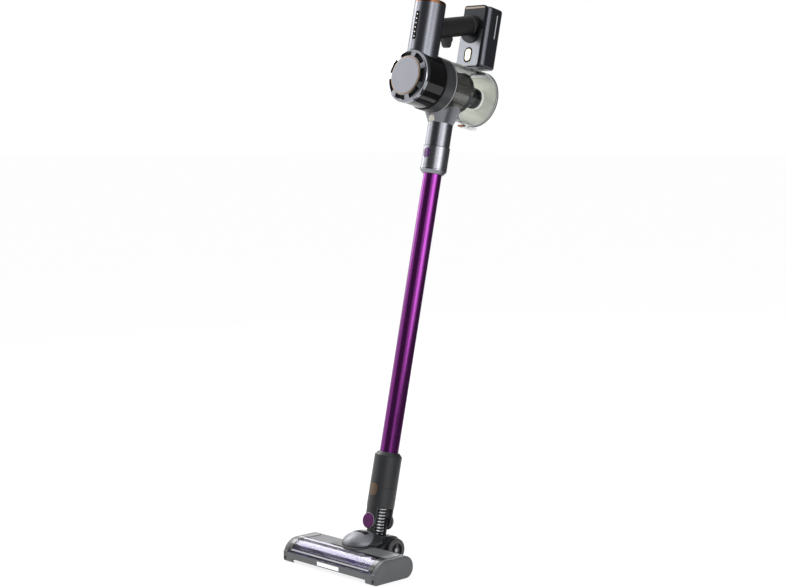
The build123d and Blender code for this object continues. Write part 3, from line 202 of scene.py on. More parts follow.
# polished plastic: deep colour under a clear skin, with fine wiping marks
def polishedPlastic(name, look):
    finish = Finish(name)
    marks = finish.noise(500, 2.0, spread=(1, 1, 0.08))
    tone = finish.noise(30, 2.0)
    return finish.surface({
        "Base Color": finish.mix(ink(look["dark"]), ink(look["light"]), tone),
        "Roughness": look["rough"] + marks * 0.05, "Specular IOR Level": look.get("specular", 0.5),
        "Coat Weight": look.get("coat", 0.6), "Coat Roughness": 0.03,
        "Normal": finish.bump(marks, 0.02, 0.0001),
    })


# clear mouldings: see-through, under a mirror skin that thickens at glancing angles, with faint flow lines
def clearPlastic(name, look):
    finish = Finish(name)
    flow = finish.noise(120, 2.0, spread=(0.3, 1, 1))
    finish.surface({
        "Base Color": finish.mix(ink(look["dark"]), ink(look["light"]), flow),
        "Roughness": look["rough"] + flow * 0.02, "Metallic": 1.0,
    })
    glance = finish.node("ShaderNodeLayerWeight", sockets={"Blend": 0.5}, output="Facing")
    through = finish.node("ShaderNodeBsdfTransparent", sockets={"Color": ink(look["tint"])})
    skin = look["skin"] + glance * glance * glance * look["rim"]
    return finish.cover(skin, through, Value(finish, finish.shader.outputs[0]))


# anodised aluminium: drawn lines along the tube under a coloured oxide
def anodisedTube(name, look):
    finish = Finish(name)
    lean = rollAxis.angle(Vector((0, 1, 0)))
    drawn = finish.noise(900, 3.0, spread=(1, 1, 0.012), turn=(lean, 0, 0))
    clouds = finish.noise(20, 3.0)
    return finish.surface({
        "Base Color": finish.mix(ink(look["dark"]), ink(look["light"]), drawn * 0.7 + clouds * 0.3),
        "Metallic": 0.92, "Roughness": look["rough"] + (drawn - 0.5) * 0.12,
        "Normal": finish.bump(drawn, 0.05, 0.0001),
    })


# places in the wand's own directions from a point on it, as shader values: across, back, up
def wandWays(finish, origin):
    turn = rollAxis.angle(Vector((0, 1, 0)))
    start = Matrix.Rotation(turn, 3, "X") @ origin
    return finish.split(finish.place(turn=(turn, 0, 0), shift=tuple(-start)))


# round the barrel: the angle about its axis and the way along it
def barrelWays(finish):
    across, along, up = wandWays(finish, barrelMiddle)
    return finish.node("ShaderNodeMath", {"operation": "ARCTAN2"}, {0: across, 1: up}), along


# holder plate: satin paint, darker on the round flange, over it and down in the button's recess
def holderPaint(name, look):
    finish = Finish(name)
    across, back, up = wandWays(finish, rollPivot)
    rise = up - look["flange"] * mm
    flange = across * across + rise * rise < (look["flangeRadius"] * mm) ** 2
    dark = flange | (rise > 0.0) | (back > look["face"] * mm)
    flakes = finish.noise(flakeScale, 1.0)
    plate = finish.mix(ink(look["dark"]), ink(look["light"]), flakes)
    panel = finish.mix(ink(look["panelDark"]), ink(look["panelLight"]), flakes)
    return finish.surface({
        "Base Color": finish.mix(plate, panel, dark), "Metallic": 0.75,
        "Roughness": 0.34 + dark * 0.1 + (flakes - 0.5) * 0.06, "Normal": finish.bump(flakes, 0.04, 0.0001),
    })


# lower shell of the head: grained plastic, darker on the cheeks behind its back wall
def shellPlastic(name, look):
    finish = Finish(name)
    cheeks = finish.split(finish.place())[1] > look["backWall"] * mm
    grain = finish.noise(grainScale, 3.0)
    tone = finish.noise(35, 3.0)
    front = finish.mix(ink(look["dark"]), ink(look["light"]), tone)
    behind = finish.mix(ink(look["cheekDark"]), ink(look["cheekLight"]), tone)
    return finish.surface({
        "Base Color": finish.mix(front, behind, cheeks), "Roughness": 0.44 + (grain - 0.5) * 0.1,
        "Normal": finish.bump(grain, 0.12, 0.0002),
    })


# hose wall: plated ribs, with painted shade in the grooves between them, which are coloured near-black
def hoseRibs(name, look):
    finish = Finish(name)
    across, back = wandWays(finish, rollPivot)[:2]
    crown = across * across + back * back > (look["radius"] * mm) ** 2
    scuffs = finish.noise(300, 2.0)
    rib = finish.mix(ink(look["dark"]), ink(look["light"]), scuffs)
    return finish.surface({
        # painted shade: the near-black groove colour stands for the shade between the ribs
        "Base Color": finish.mix(ink(look["groove"]), rib, crown), "Metallic": crown * 0.95,
        "Roughness": 0.5 - crown * 0.36 + scuffs * 0.05,
    })


# headlight: frosted lens with a row of lit chips behind it
def litLens(name, look):
    finish = Finish(name)
    across, back, up = finish.split(finish.place(shift=(0, 0, -look["middle"] * mm)))
    lit = finish.wave(across * (2 * math.pi / (look["pitch"] * mm))) > 0.0
    chips = lit * (up * up < (look["half"] * mm) ** 2)
    frost = finish.noise(500, 2.0)
    return finish.surface({
        "Base Color": finish.mix(ink("#d4d5d8"), ink("#f4f4f6"), frost), "Roughness": 0.2 + frost * 0.1,
        "Emission Color": finish.mix(ink(look["dim"]), ink(look["lit"]), chips),
        "Emission Strength": look["glow"],
    })


# etched steel mesh: rows of round holes, with plain seams along the drum
def shroudMesh(name, look):
    finish = Finish(name)
    angle, along = barrelWays(finish)
    rows = finish.wave(along * (2 * math.pi / look["pitch"]))
    columns = finish.wave(angle * look["holes"])
    seams = finish.wave(angle * look["seams"]) > 0.985
    holes = (rows * columns > 0.12) * (1 - seams)
    streaks = finish.noise(80, 3.0)
    steel = finish.mix(ink(look["dark"]), ink(look["light"]), streaks)
    return finish.surface({
        "Base Color": finish.mix(steel, ink(look["hole"]), holes * 0.55),
        "Metallic": 0.95 - holes * 0.4, "Roughness": 0.26 + holes * 0.2,
        "Normal": finish.bump(1 - holes, 0.4, 0.0003),
    })


# pleated paper round the outlet, with painted shade darkening it down in each fold
def pleatedFilter(name, look):
    finish = Finish(name)
    angle = barrelWays(finish)[0]
    pleatFoldAndShade = finish.wave(angle * look["pleats"]) * 0.5 + 0.5
    fibres = finish.noise(700, 4.0)
    return finish.surface({
        # painted shade: the fold wave makes the colour darker in the pleats' valleys
        "Base Color": finish.mix(ink(look["dark"]), ink(look["light"]), pleatFoldAndShade * 0.8 + fibres * 0.2),
        "Roughness": 0.9, "Normal": finish.bump(pleatFoldAndShade, 0.8, 0.001),
    })


# nylon pile: short upright fibres, with tones that vary at random
def pile(name, look):
    finish = Finish(name)
    fibres = finish.noise(1500, 2.0)
    patches = finish.noise(40, 2.0)
    return finish.surface({
        "Base Color": finish.mix(ink(look["dark"]), ink(look["light"]), fibres * 0.6 + patches * 0.4),
        "Roughness": 0.85, "Sheen Weight": 0.1, "Sheen Roughness": 0.4,
        "Normal": finish.bump(fibres, 0.6, 0.0006),
    })


# ground or plated steel with fine turning marks
def groundSteel(name, look):
    finish = Finish(name)
    lines = finish.noise(1200, 2.0, spread=(0.05, 1, 1))
    return finish.surface({
        "Base Color": finish.mix(ink(look["dark"]), ink(look["light"]), lines),
        "Metallic": 1.0, "Roughness": look["rough"] + (lines - 0.5) * 0.15,
    })


# lit lamps of the display
def lampGlow(name, look):
    finish = Finish(name)
    spots = finish.noise(600, 1.0)
    colour = finish.mix(ink(look["dark"]), ink(look["light"]), spots)
    return finish.surface({
        "Base Color": colour, "Roughness": 0.4, "Emission Color": colour, "Emission Strength": look["glow"],
    })


finishes = {
    "gunmetal": flakePaint("gunmetalPaint", {"dark": "#62636a", "light": "#7c7d84", "metallic": 0.95,
                                             "rough": 0.28}),
    # lighter copies of the gunmetal paint for the collar and the inlet: painted light, for the stronger light
    # these parts catch
    "collarGunmetalPaintedLight": flakePaint("collarGunmetalPaintedLight", {"dark": "#7f8086", "light": "#9b9ca2", "metallic": 0.95,
                                              "rough": 0.27}),
    "inletGunmetalPaintedLight": flakePaint("inletGunmetalPaintedLight", {"dark": "#6c6d73", "light": "#86878d", "metallic": 0.95,
                                            "rough": 0.27}),
    "battery": flakePaint("batteryPaint", {"dark": "#4a4b50", "light": "#5e5f65", "metallic": 0.9,
                                           "rough": 0.30}),
    "silver": flakePaint("silverPaint", {"dark": "#8a8c92", "light": "#a4a6ac", "metallic": 1.0,
                                         "rough": 0.15}),
    "face": flakePaint("facePlate", {"dark": "#74757c", "light": "#88898f", "metallic": 0.7,
                                     "rough": 0.36}),
    "shield": flakePaint("shieldPaint", {"dark": "#74767b", "light": "#8a8c92", "metallic": 0.6,
                                         "rough": 0.42}),
    "holder": holderPaint("holderPlate", {"dark": "#808288", "light": "#95979d", "panelDark": "#232427",
                                          "panelLight": "#2e2f33", "flange": 940.0, "flangeRadius": 25.3,
                                          "face": 44.6}),
    "copper": flakePaint("copperTrim", {"dark": "#5f3f2c", "light": "#8a6248", "metallic": 0.95,
                                        "rough": 0.28}),
    "brown": flakePaint("brownButton", {"dark": "#5f4c3c", "light": "#735d4a", "metallic": 0.25,
                                        "rough": 0.36}),
    "trimLine": flakePaint("trimLine", {"dark": "#6d5a48", "light": "#95806a", "metallic": 0.9,
                                        "rough": 0.3}),
    "gold": flakePaint("goldButton", {"dark": "#c4b797", "light": "#e8dfc8", "metallic": 0.7,
                                      "rough": 0.2}),
    "tube": anodisedTube("purpleTube", {"dark": "#6b2870", "light": "#88398c", "rough": 0.22}),
    "matteBlack": mouldedPlastic("gripRubber", {"dark": "#0f0f10", "light": "#181819", "rough": 0.60,
                                                "grain": 3000, "depth": 0.25, "specular": 0.35}),
    "darkGrey": mouldedPlastic("darkPlastic", {"dark": "#242527", "light": "#2f3032", "rough": 0.42}),
    "ringGrey": mouldedPlastic("ringPlastic", {"dark": "#2f3033", "light": "#3b3c3f", "rough": 0.40}),
    "midGrey": mouldedPlastic("headPlastic", {"dark": "#56585a", "light": "#636567", "rough": 0.44}),
    "barGrey": shellPlastic("barPlastic", {"dark": "#626466", "light": "#707274", "cheekDark": "#2a2b2d",
                                           "cheekLight": "#37383a", "backWall": 47.3}),
    "paleGrey": mouldedPlastic("shoulderPlastic", {"dark": "#7c7e80", "light": "#8c8e90", "rough": 0.42}),
    "wheelGrey": mouldedPlastic("wheelPlastic", {"dark": "#363739", "light": "#47484a", "rough": 0.42}),
    "seamBlack": mouldedPlastic("seamShadow", {"dark": "#121213", "light": "#1b1b1c", "rough": 0.7}),
    # black of the display slot, also laid on the hood as a patch of painted shade
    "ledBlack": mouldedPlastic("ledSlotAndNotchShade", {"dark": "#070708", "light": "#0d0d0e", "rough": 0.55,
                                           "specular": 0.1}),
    "rubber": mouldedPlastic("rubberSeal", {"dark": "#161617", "light": "#222223", "rough": 0.75,
                                            "depth": 0.2}),
    "button": mouldedPlastic("buttonPlastic", {"dark": "#d8d2c6", "light": "#eae5db", "rough": 0.4}),
    "lightLine": mouldedPlastic("paleLine", {"dark": "#b9babd", "light": "#d2d3d6", "rough": 0.3}),
    "beige": mouldedPlastic("beigeLine", {"dark": "#b6a492", "light": "#cdbcaa", "rough": 0.4}),
    "blackGloss": polishedPlastic("blackGloss", {"dark": "#080809", "light": "#0f0f10", "rough": 0.06,
                                                 "specular": 0.3, "coat": 0.25}),
    "purpleGloss": polishedPlastic("purpleGloss", {"dark": "#541866", "light": "#692a80", "rough": 0.12,
                                                   "coat": 0.3}),
    "purpleCap": polishedPlastic("purpleCap", {"dark": "#561a55", "light": "#692868", "rough": 0.42,
                                               "coat": 0.0, "specular": 0.2}),
    "blackPart": polishedPlastic("blackPart", {"dark": "#101011", "light": "#19191a", "rough": 0.25,
                                               "coat": 0.2}),
    # cup and lid: the mirror skin is painted grey, a painted reflection of darker surroundings at their
    # glancing edges
    "cup": clearPlastic("cupPlastic", {"dark": "#6a6d70", "light": "#818487", "rough": 0.02,
                                       "tint": "#fbfcfb", "skin": 0.07, "rim": 0.9}),
    "lid": clearPlastic("lidPlastic", {"dark": "#6a6d70", "light": "#818487", "rough": 0.02,
                                       "tint": "#fbfcfb", "skin": 0.07, "rim": 0.9}),
    "window": clearPlastic("windowPlastic", {"dark": "#d9d7e2", "light": "#ebe9f2", "rough": 0.01,
                                             "tint": "#e4e1ef", "skin": 0.02, "rim": 0.5}),
    "cone": clearPlastic("conePlastic", {"dark": "#c0c1c3", "light": "#d6d7d9", "rough": 0.1,
                                         "tint": "#6d6e70", "skin": 0.08, "rim": 0.8}),
    "disc": clearPlastic("discSilicone", {"dark": "#dcdfd2", "light": "#eaece2", "rough": 0.45,
                                          "tint": "#f8f8f3", "skin": 0.18, "rim": 0.3}),
    "lens": litLens("lensPlastic", {"dim": "#8c8d92", "lit": "#ffffff", "glow": 0.8, "middle": 12.7,
                                    "half": 2.6, "pitch": 7.2}),
    "shroud": shroudMesh("shroudMesh", {"dark": "#8a8884", "light": "#b4b2ae", "hole": "#2a2826",
                                        "pitch": 0.0022, "holes": 105, "seams": 6}),
    "filter": pleatedFilter("filterPaper", {"dark": "#121212", "light": "#242322", "pleats": 60}),
    "pilePurple": pile("pilePurple", {"dark": "#2c1560", "light": "#5a36a4"}),
    "pileNavy": pile("pileNavy", {"dark": "#100e28", "light": "#27234f"}),
    "rollerCore": mouldedPlastic("rollerCore", {"dark": "#17161c", "light": "#232229", "rough": 0.4}),
    "hose": hoseRibs("hoseRib", {"dark": "#a9abb0", "light": "#d2d3d7", "groove": "#0e0e0f",
                                 "radius": 11.6}),
    "steel": groundSteel("groundSteel", {"dark": "#8d8d90", "light": "#b5b5b8", "rough": 0.25}),
    "lamp": lampGlow("lampGlow", {"dark": "#e6e6e6", "light": "#ffffff", "glow": 0.9}),
    "board": mouldedPlastic("boardGreen", {"dark": "#0e3a1c", "light": "#185a2c", "rough": 0.4}),
    "cell": polishedPlastic("cellWrap", {"dark": "#1d4a7c", "light": "#2c62a0", "rough": 0.3}),
    "fan": mouldedPlastic("fanPlastic", {"dark": "#c4c4c0", "light": "#dededa", "rough": 0.45}),
}
print("finishes made:", len(finishes))

nodeFinish = {
    "tube": ["wand_tube"],
    "gunmetal": ["column_shell"],
    "collarGunmetalPaintedLight": ["wand_collar"],
    "inletGunmetalPaintedLight": ["inlet_housing"],
    "battery": ["battery_case", "battery_lid"],
    "holder": ["battery_holder"],
    "silver": ["filter_cap"],
    "face": ["cap_face"],
    "copper": ["column_trim_ring", "column_top_cap"],
    "trimLine": ["cap_trim_ring"],
    "brown": ["neck_button"],
    "gold": ["battery_button"],
    "matteBlack": ["handle_grip"],
    "darkGrey": ["foot_collar", "neck_socket", "yoke", "trigger", "hood"],
    "ringGrey": ["barrel_ring", "handle_core"],
    "midGrey": ["end_cap_left", "end_cap_right", "head_cover"],
    "barGrey": ["head_base"],
    "wheelGrey": ["rear_wheel_left", "rear_wheel_right", "front_roller_left", "front_roller_right"],
    "button": ["cup_button"],
    "purpleGloss": ["collar_button"],
    "purpleCap": ["pivot_caps"],
    "blackGloss": ["motor_shell"],
    "ledBlack": ["led_window"],
    "blackPart": ["shroud_skirt", "cone_hub", "motor_pulley"],
    "cup": ["dust_cup", "lid_latch"],
    "lid": ["cup_lid"],
    "window": ["roller_window"],
    "lens": ["light_lens"],
    "cone": ["cyclone_cone"],
    "disc": ["lid_gasket"],
    "shroud": ["cyclone_shroud"],
    "filter": ["exhaust_filter"],
    "rollerCore": ["brush_roller"],
    "pilePurple": ["roller_strips"],
    "hose": ["neck_hose"],
    "rubber": ["drive_belt", "motor_mount"],
    "steel": ["axle_stubs", "trigger_pin", "lid_hinge_pin", "suction_motor", "brush_motor"],
    "fan": ["fan_rotor"],
    "board": ["control_board"],
    "cell": ["battery_cells"],
}
for finishName, names in nodeFinish.items():
    for name in names:
        mesh = nodes[name].data
        mesh.materials.clear()
        mesh.materials.append(finishes[finishName])
print("nodes dressed:", sum(len(names) for names in nodeFinish.values()))


# working by hand: clear what is selected, pick by place, finish a piece at the origin
def clearSelection():
    if bpy.context.object and bpy.context.object.mode != "OBJECT":
        bpy.ops.object.mode_set(mode="OBJECT")
    bpy.ops.object.select_all(action="DESELECT")


def pick(kind, test):
    bpy.ops.mesh.select_mode(type=kind)
    bpy.ops.mesh.select_all(action="DESELECT")
    mesh = bmesh.from_edit_mesh(bpy.context.object.data)
    group = {"VERT": mesh.verts, "EDGE": mesh.edges, "FACE": mesh.faces}[kind]
    for item in group:
        middle = item.co if kind == "VERT" else sum((v.co for v in item.verts), Vector()) / len(item.verts)
        item.select_set(bool(test(middle, item)))
    mesh.select_flush_mode()
    bmesh.update_edit_mesh(bpy.context.object.data)


def closeSeams():
    bpy.ops.mesh.select_all(action="SELECT")
    bpy.ops.mesh.remove_doubles(threshold=1e-6)
    bpy.ops.mesh.normals_make_consistent(inside=False)


def finishPiece(name, place, body, finishName, stands=(), smooth=35):
    bpy.ops.object.mode_set(mode="OBJECT")
    piece = bpy.context.object
    piece.name = piece.data.name = name
    piece.matrix_world = place @ piece.matrix_world
    bpy.ops.object.transform_apply(location=True, rotation=True, scale=True)
    bpy.ops.object.shade_smooth_by_angle(angle=math.radians(smooth))
    piece.data.materials.clear()
    piece.data.materials.append(finishes[finishName])
    if body:
        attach(piece, body)
    if stands:
        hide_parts(*stands)
    return piece


# one point in edit mode, ready to be extruded
def startPoint(place):
    clearSelection()
    bpy.ops.mesh.primitive_plane_add(size=mm)
    bpy.ops.object.mode_set(mode="EDIT")
    bpy.ops.mesh.select_mode(type="VERT")
    bpy.ops.mesh.select_all(action="SELECT")
    bpy.ops.mesh.merge(type="CENTER")
    bpy.ops.transform.translate(value=place)


# a profile of radius and height points, extruded point by point
def drawProfile(profile):
    startPoint((profile[0][0] * mm, 0, profile[0][1] * mm))
    for (r0, h0), (r1, h1) in zip(profile, profile[1:]):
        step = ((r1 - r0) * mm, 0, (h1 - h0) * mm)
        bpy.ops.mesh.extrude_vertices_move(TRANSFORM_OT_translate={"value": step})


# a profile closed and spun about the third axis
def spinProfile(profile, steps=96, sweep=2 * math.pi):
    drawProfile(profile)
    ends = [Vector((r * mm, 0, h * mm)) for r, h in (profile[0], profile[-1])]
    pick("VERT", lambda co, vert: any((co - end).length < 1e-7 for end in ends))
    bpy.ops.mesh.edge_face_add()
    bpy.ops.mesh.select_all(action="SELECT")
    bpy.ops.mesh.spin(steps=steps, angle=sweep, center=(0, 0, 0), axis=(0, 0, 1))
    if sweep < 2 * math.pi:
        bpy.ops.mesh.select_all(action="SELECT")
        bpy.ops.mesh.fill_holes(sides=0)
    closeSeams()


# a wall grown inwards from the active piece
def thicken(thick):
    bpy.ops.object.mode_set(mode="OBJECT")
    wall = bpy.context.object.modifiers.new("wall", "SOLIDIFY")
    wall.thickness, wall.offset = thick * mm, -1
    bpy.ops.object.modifier_apply(modifier="wall")


# a flat band of rounded section round an axis, standing a little proud of what carries it;
# a gap, in degrees, leaves it open at the front
def band(name, look, place, body, finishName, steps=96):
    inner, outer = look["radius"] - look["depth"], look["radius"] + look["proud"]
    low, high = look["middle"] - look["width"] / 2, look["middle"] + look["width"] / 2
    soft = min(look["proud"], look["width"] / 3)
    gap = math.radians(look.get("gap", 0))
    spinProfile([(inner, low), (outer - soft, low), (outer, low + soft), (outer, high - soft),
                 (outer - soft, high), (inner, high)], steps, sweep=2 * math.pi - gap)
    turn = Matrix.Rotation(-(math.pi + gap) / 2, 4, "Z") if gap else Matrix()
    return finishPiece(name, place @ turn, body, finishName)


# a rounded tablet: a cube at its size, with its edges bevelled
def tablet(name, look, place, body, finishName):
    clearSelection()
    bpy.ops.mesh.primitive_cube_add(size=1, location=Vector(look["middle"]) * mm,
                                    scale=Vector(look["size"]) * mm)
    bpy.ops.object.transform_apply(location=True, rotation=True, scale=True)
    bpy.ops.object.mode_set(mode="EDIT")
    axis = look["axis"]
    pick("EDGE", lambda co, edge: abs((edge.verts[0].co - edge.verts[1].co).normalized()[axis]) > 0.9)
    bpy.ops.mesh.bevel(offset=look["corner"] * mm, segments=8, affect="EDGES")
    level = (look["middle"][axis] + look.get("front", -1) * look["size"][axis] / 2) * mm
    pick("FACE", lambda co, face: abs(co[axis] - level) < 1e-6)
    bpy.ops.mesh.bevel(offset=look["edge"] * mm, segments=3, affect="EDGES")
    return finishPiece(name, place, body, finishName)


# ribbed hose through the roll joint: one wave of its wall, screwed round and up
hoseLook = {"crown": 12.6, "groove": 10.7, "pitch": 5.8, "turns": 9, "foot": -25.4, "head": 26.8,
            "waveParts": 12, "fullness": 0.6, "steps": 48}
hoseWave = []
for part in range(hoseLook["waveParts"] + 1):
    share = part / hoseLook["waveParts"]
    swing = (0.5 - 0.5 * math.cos(2 * math.pi * share)) ** hoseLook["fullness"]
    radius = hoseLook["groove"] + (hoseLook["crown"] - hoseLook["groove"]) * swing
    hoseWave.append((radius, hoseLook["foot"] + hoseLook["pitch"] * share))
drawProfile(hoseWave)
bpy.ops.object.mode_set(mode="OBJECT")
hosePiece = bpy.context.object
screw = hosePiece.modifiers.new("ribs", "SCREW")
screw.axis, screw.angle, screw.screw_offset = "Z", 2 * math.pi, hoseLook["pitch"] * mm
screw.iterations = hoseLook["turns"]
screw.steps = screw.render_steps = hoseLook["steps"]
screw.use_merge_vertices, screw.merge_threshold = True, 1e-6
bpy.ops.object.modifier_apply(modifier="ribs")
bpy.ops.object.mode_set(mode="EDIT")
closeSeams()
hosePiece = finishPiece("neckHose", wandFrame, None, "hose", ["neck_hose"], 60)
hoseEnds = [wandFrame @ Vector((0, 0, hoseLook[end] * mm)) for end in ("head", "foot")]
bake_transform(hosePiece)
hoseCuffs = {"hoseCuffHead": ("handheld", 26.0, 34.3), "hoseCuffFoot": ("yoke", -32.9, -24.4)}
cuffLook = {"bore": 9.0, "end": 11.9, "outside": 12.4, "soft": 0.6}
for name, (body, low, high) in hoseCuffs.items():
    bore, end, outside, soft = (cuffLook[part] for part in ("bore", "end", "outside", "soft"))
    spinProfile([(bore, low), (end, low), (outside, low + soft), (outside, high - soft), (end, high),
                 (bore, high)], 64)
    finishPiece(name, wandFrame, body, "blackPart")
print("hose made")

# six lamps in the display slot
lampLook = {"first": 889.5, "step": 8.3, "count": 6, "radius": 1.0, "depth": 0.8, "front": -103.75,
            "edge": 0.2}
clearSelection()
bpy.ops.mesh.primitive_cylinder_add(vertices=24, radius=lampLook["radius"] * mm, depth=lampLook["depth"] * mm)
bpy.ops.object.mode_set(mode="EDIT")
pick("FACE", lambda co, face: face.normal.z > 0.9)
bpy.ops.mesh.bevel(offset=lampLook["edge"] * mm, segments=2, affect="EDGES")
bpy.ops.mesh.select_all(action="SELECT")
bpy.ops.transform.rotate(value=math.pi / 2, orient_axis="X", center_override=(0, 0, 0))
bpy.ops.mesh.select_all(action="SELECT")
bpy.ops.transform.translate(value=(0, lampLook["front"] * mm, lampLook["first"] * mm))
for lamp in range(1, lampLook["count"]):
    bpy.ops.mesh.duplicate_move(TRANSFORM_OT_translate={"value": (0, 0, lampLook["step"] * mm)})
finishPiece("displayLamps", wandFrame, "handheld", "lamp")
print("lamps made")

# brush fibres in spiral rows, short tapered tufts set on the roller
rollerAxis = Vector(joints["roller_spin"]["pos_m"])
tuftLook = {"rows": 8, "twist": 210.0, "first": -100.5, "last": 108.5, "along": 62, "foot": 12.6, "tip": 17.2,
            "width": 1.9, "taper": 0.8, "inset": 0.5, "crown": 0.2, "spacing": 90, "spread": 16}
brushMiddle = (tuftLook["first"] + tuftLook["last"]) / 2
brushLength = tuftLook["last"] - tuftLook["first"]
tuftRows = {}
for row in range(tuftLook["rows"]):
    group = "pilePurple" if row % 4 < 2 else "pileNavy"
    tuftRows.setdefault(group, []).append(row)
for group, rows in tuftRows.items():
    clearSelection()
    bpy.ops.mesh.primitive_cone_add(vertices=6, radius1=tuftLook["width"] * mm,
                                    radius2=tuftLook["width"] * tuftLook["taper"] * mm,
                                    depth=(tuftLook["tip"] - tuftLook["foot"]) * mm,
                                    location=(0, 0, (tuftLook["tip"] + tuftLook["foot"]) / 2 * mm))
    bpy.ops.object.transform_apply(location=True, rotation=True, scale=True)
    bpy.ops.object.mode_set(mode="EDIT")
    pick("FACE", lambda co, face: face.normal.z > 0.9)
    bpy.ops.mesh.inset(thickness=tuftLook["inset"] * mm)
    bpy.ops.transform.translate(value=(0, 0, tuftLook["crown"] * mm))
    bpy.ops.object.mode_set(mode="OBJECT")
    tuft = bpy.context.object
    brush = bmesh.new()
    for number in rows:
        strip, side = divmod(number, 2)
        for step in range(tuftLook["along"]):
            share = (step + 0.5 * side) / tuftLook["along"] - 0.5
            row = strip * tuftLook["spacing"] + (side - 0.5) * tuftLook["spread"]
            turn = Matrix.Rotation(math.radians(row + tuftLook["twist"] * share), 4, "X")
            shift = Matrix.Translation(((brushMiddle + brushLength * share) * mm, 0, 0))
            copy = tuft.data.copy()
            copy.transform(shift @ turn)
            brush.from_mesh(copy)
            bpy.data.meshes.remove(copy)
    brush.to_mesh(tuft.data)
    brush.free()
    stands = ["roller_strips"] if group == "pilePurple" else []
    finishPiece("brush" + group[4:], Matrix.Translation(rollerAxis), "roller", group, stands, 50)
print("brush made")

# thin bands: seams, trim lines and shadow gaps round the wand and the barrel
seamLook = {"depth": 1.0, "proud": 0.12}
wandBands = {
    "collarSeam": {"radius": 25.3, "middle": 703.0, "width": 0.9},
    "collarFoot": {"radius": 25.3, "middle": 660.5, "width": 0.7},
    "neckSeam": {"radius": 25.5, "middle": 63.1, "width": 0.9, "gap": 46},
    "footSeam": {"radius": 25.5, "middle": 121.5, "width": 0.7},
}
for name, look in wandBands.items():
    band(name, {**seamLook, **look}, wandFrame, "handheld", "seamBlack")
barrelBands = {
    "ringLine": ({"radius": 52.0, "depth": 1.0, "proud": 0.15, "middle": -26.6, "width": 1.2}, "handheld",
                 "lightLine", "silver"),
    "ringSeam": ({"radius": 52.0, "depth": 1.0, "proud": 0.10, "middle": -50.6, "width": 0.7}, "handheld",
                 "seamBlack", "black_matte"),
    "lidEdge": ({"radius": 53.6, "depth": 0.6, "proud": 0.05, "middle": 87.0, "width": 2.4}, "cup_lid",
                "seamBlack", "black_matte"),
    "lidSeam": ({"radius": 53.6, "depth": 0.6, "proud": 0.05, "middle": 83.2, "width": 1.2}, "cup_lid",
                "ringGrey", "dark_grey"),
    "shellLine": ({"radius": 49.5, "depth": 1.0, "proud": 0.15, "middle": -95.4, "width": 1.2}, "handheld",
                  "seamBlack", "black_matte"),
}
for name, (look, body, finishName, slotName) in barrelBands.items():
    band(name, look, barrelFrame, body, finishName, 128)
print("bands made")

# grey rims round the two roll pivots, tyres on the wheels and a ring at the grip's rear end
rollFrame = frameOf(rollPivot, acrossAxis, -tubeAxis, rollAxis)
rimLook = {"radius": 13.7, "depth": 1.2, "proud": 0.9, "width": 1.8, "seat": 25.1}
for name, side in (("pivotRimFront", -1), ("pivotRimBack", 1)):
    look = {**rimLook, "middle": side * rimLook["seat"]}
    band(name, look, rollFrame, "handheld", "paleGrey", 64)
axlePoint = Vector(joints["head_pitch"]["pos_m"])
axleFrame = frameOf(axlePoint, Vector((0, 1, 0)), Vector((0, 0, 1)), acrossAxis)
tyreLook = {"radius": 21.3, "depth": 2.0, "proud": 0.15, "width": 4.8, "track": 26.4}
for name, body, side in (("tyreLeft", "rear_wheel_left", -1), ("tyreRight", "rear_wheel_right", 1)):
    band(name, {**tyreLook, "middle": side * tyreLook["track"]}, axleFrame, body, "rubber")
gripLook = {"radius": 18.5, "depth": 1.0, "proud": 0.5, "middle": 84.0, "width": 2.6, "foot": (-45.3, 918.6),
            "slope": 19.1}
gripTurn = math.radians(gripLook["slope"])
gripAxis = rollAxis * math.cos(gripTurn) + tubeAxis * math.sin(gripTurn)
gripFoot = wandFrame @ Vector((0, gripLook["foot"][0] * mm, gripLook["foot"][1] * mm))
gripFrame = frameOf(gripFoot, acrossAxis, gripAxis.cross(acrossAxis), gripAxis)
band("gripRing", gripLook, gripFrame, "handheld", "ringGrey")
print("rings made")

# small flat trim: grooves on the battery, edge line of its holder, copper tip of the latch
grooveLook = {"size": (0.6, 2.2, 46), "axis": 0, "corner": 1.0, "edge": 0.15}
wandTablets = {
    "batteryGrooveRight": ({**grooveLook, "middle": (30.7, 76, 952), "front": 1},
                           "battery", "lightLine", "silver"),
    "batteryGrooveLeft": ({**grooveLook, "middle": (-30.7, 76, 952)}, "battery", "lightLine", "silver"),
    "holderEdge": ({"middle": (0, 44.25, 983.6), "size": (49, 0.9, 3.4), "axis": 1, "corner": 1.2,
                    "edge": 0.2}, "handheld", "beige", "silver"),
    "latchTip": ({"middle": (0, 56.0, 757.4), "size": (16.6, 3.4, 3.8), "axis": 1, "corner": 1.2,
                  "edge": 0.4}, "lid_latch", "copper", "copper_trim"),
}
for name, (look, body, finishName, slotName) in wandTablets.items():
    tablet(name, look, wandFrame, body, finishName)

# on the floor head: plinth under the hood, shoulders at both ends and the shadow line behind the window
shoulderLook = {"size": (15.5, 34, 1.2), "corner": 4, "edge": 0.5}
headTablets = {
    "hoodPlinth": ({"middle": (-2, 7.5, 41.5), "size": (78, 33, 1.4), "corner": 13, "edge": 0.5},
                   "darkGrey", "dark_grey"),
    "coverSeam": ({"middle": (0, -10.0, 40.9), "size": (224, 1.0, 0.5), "corner": 0.3, "edge": 0.1},
                  "seamBlack", "black_matte"),
    "shoulderRight": ({**shoulderLook, "middle": (105, 8, 41.3)}, "paleGrey", "mid_grey"),
    "shoulderLeft": ({**shoulderLook, "middle": (-105, 8, 41.3)}, "paleGrey", "mid_grey"),
}
for name, (look, finishName, slotName) in headTablets.items():
    tablet(name, {**look, "axis": 2, "front": 1}, Matrix(), "floor_head", finishName)
print("tablets made")

# patches over the hood: part of an ellipsoid, cut off by planes, each a point and the way that is kept
hoodLook = {"size": (35, 42, 20.3), "middle": (0, 40, 42.7)}


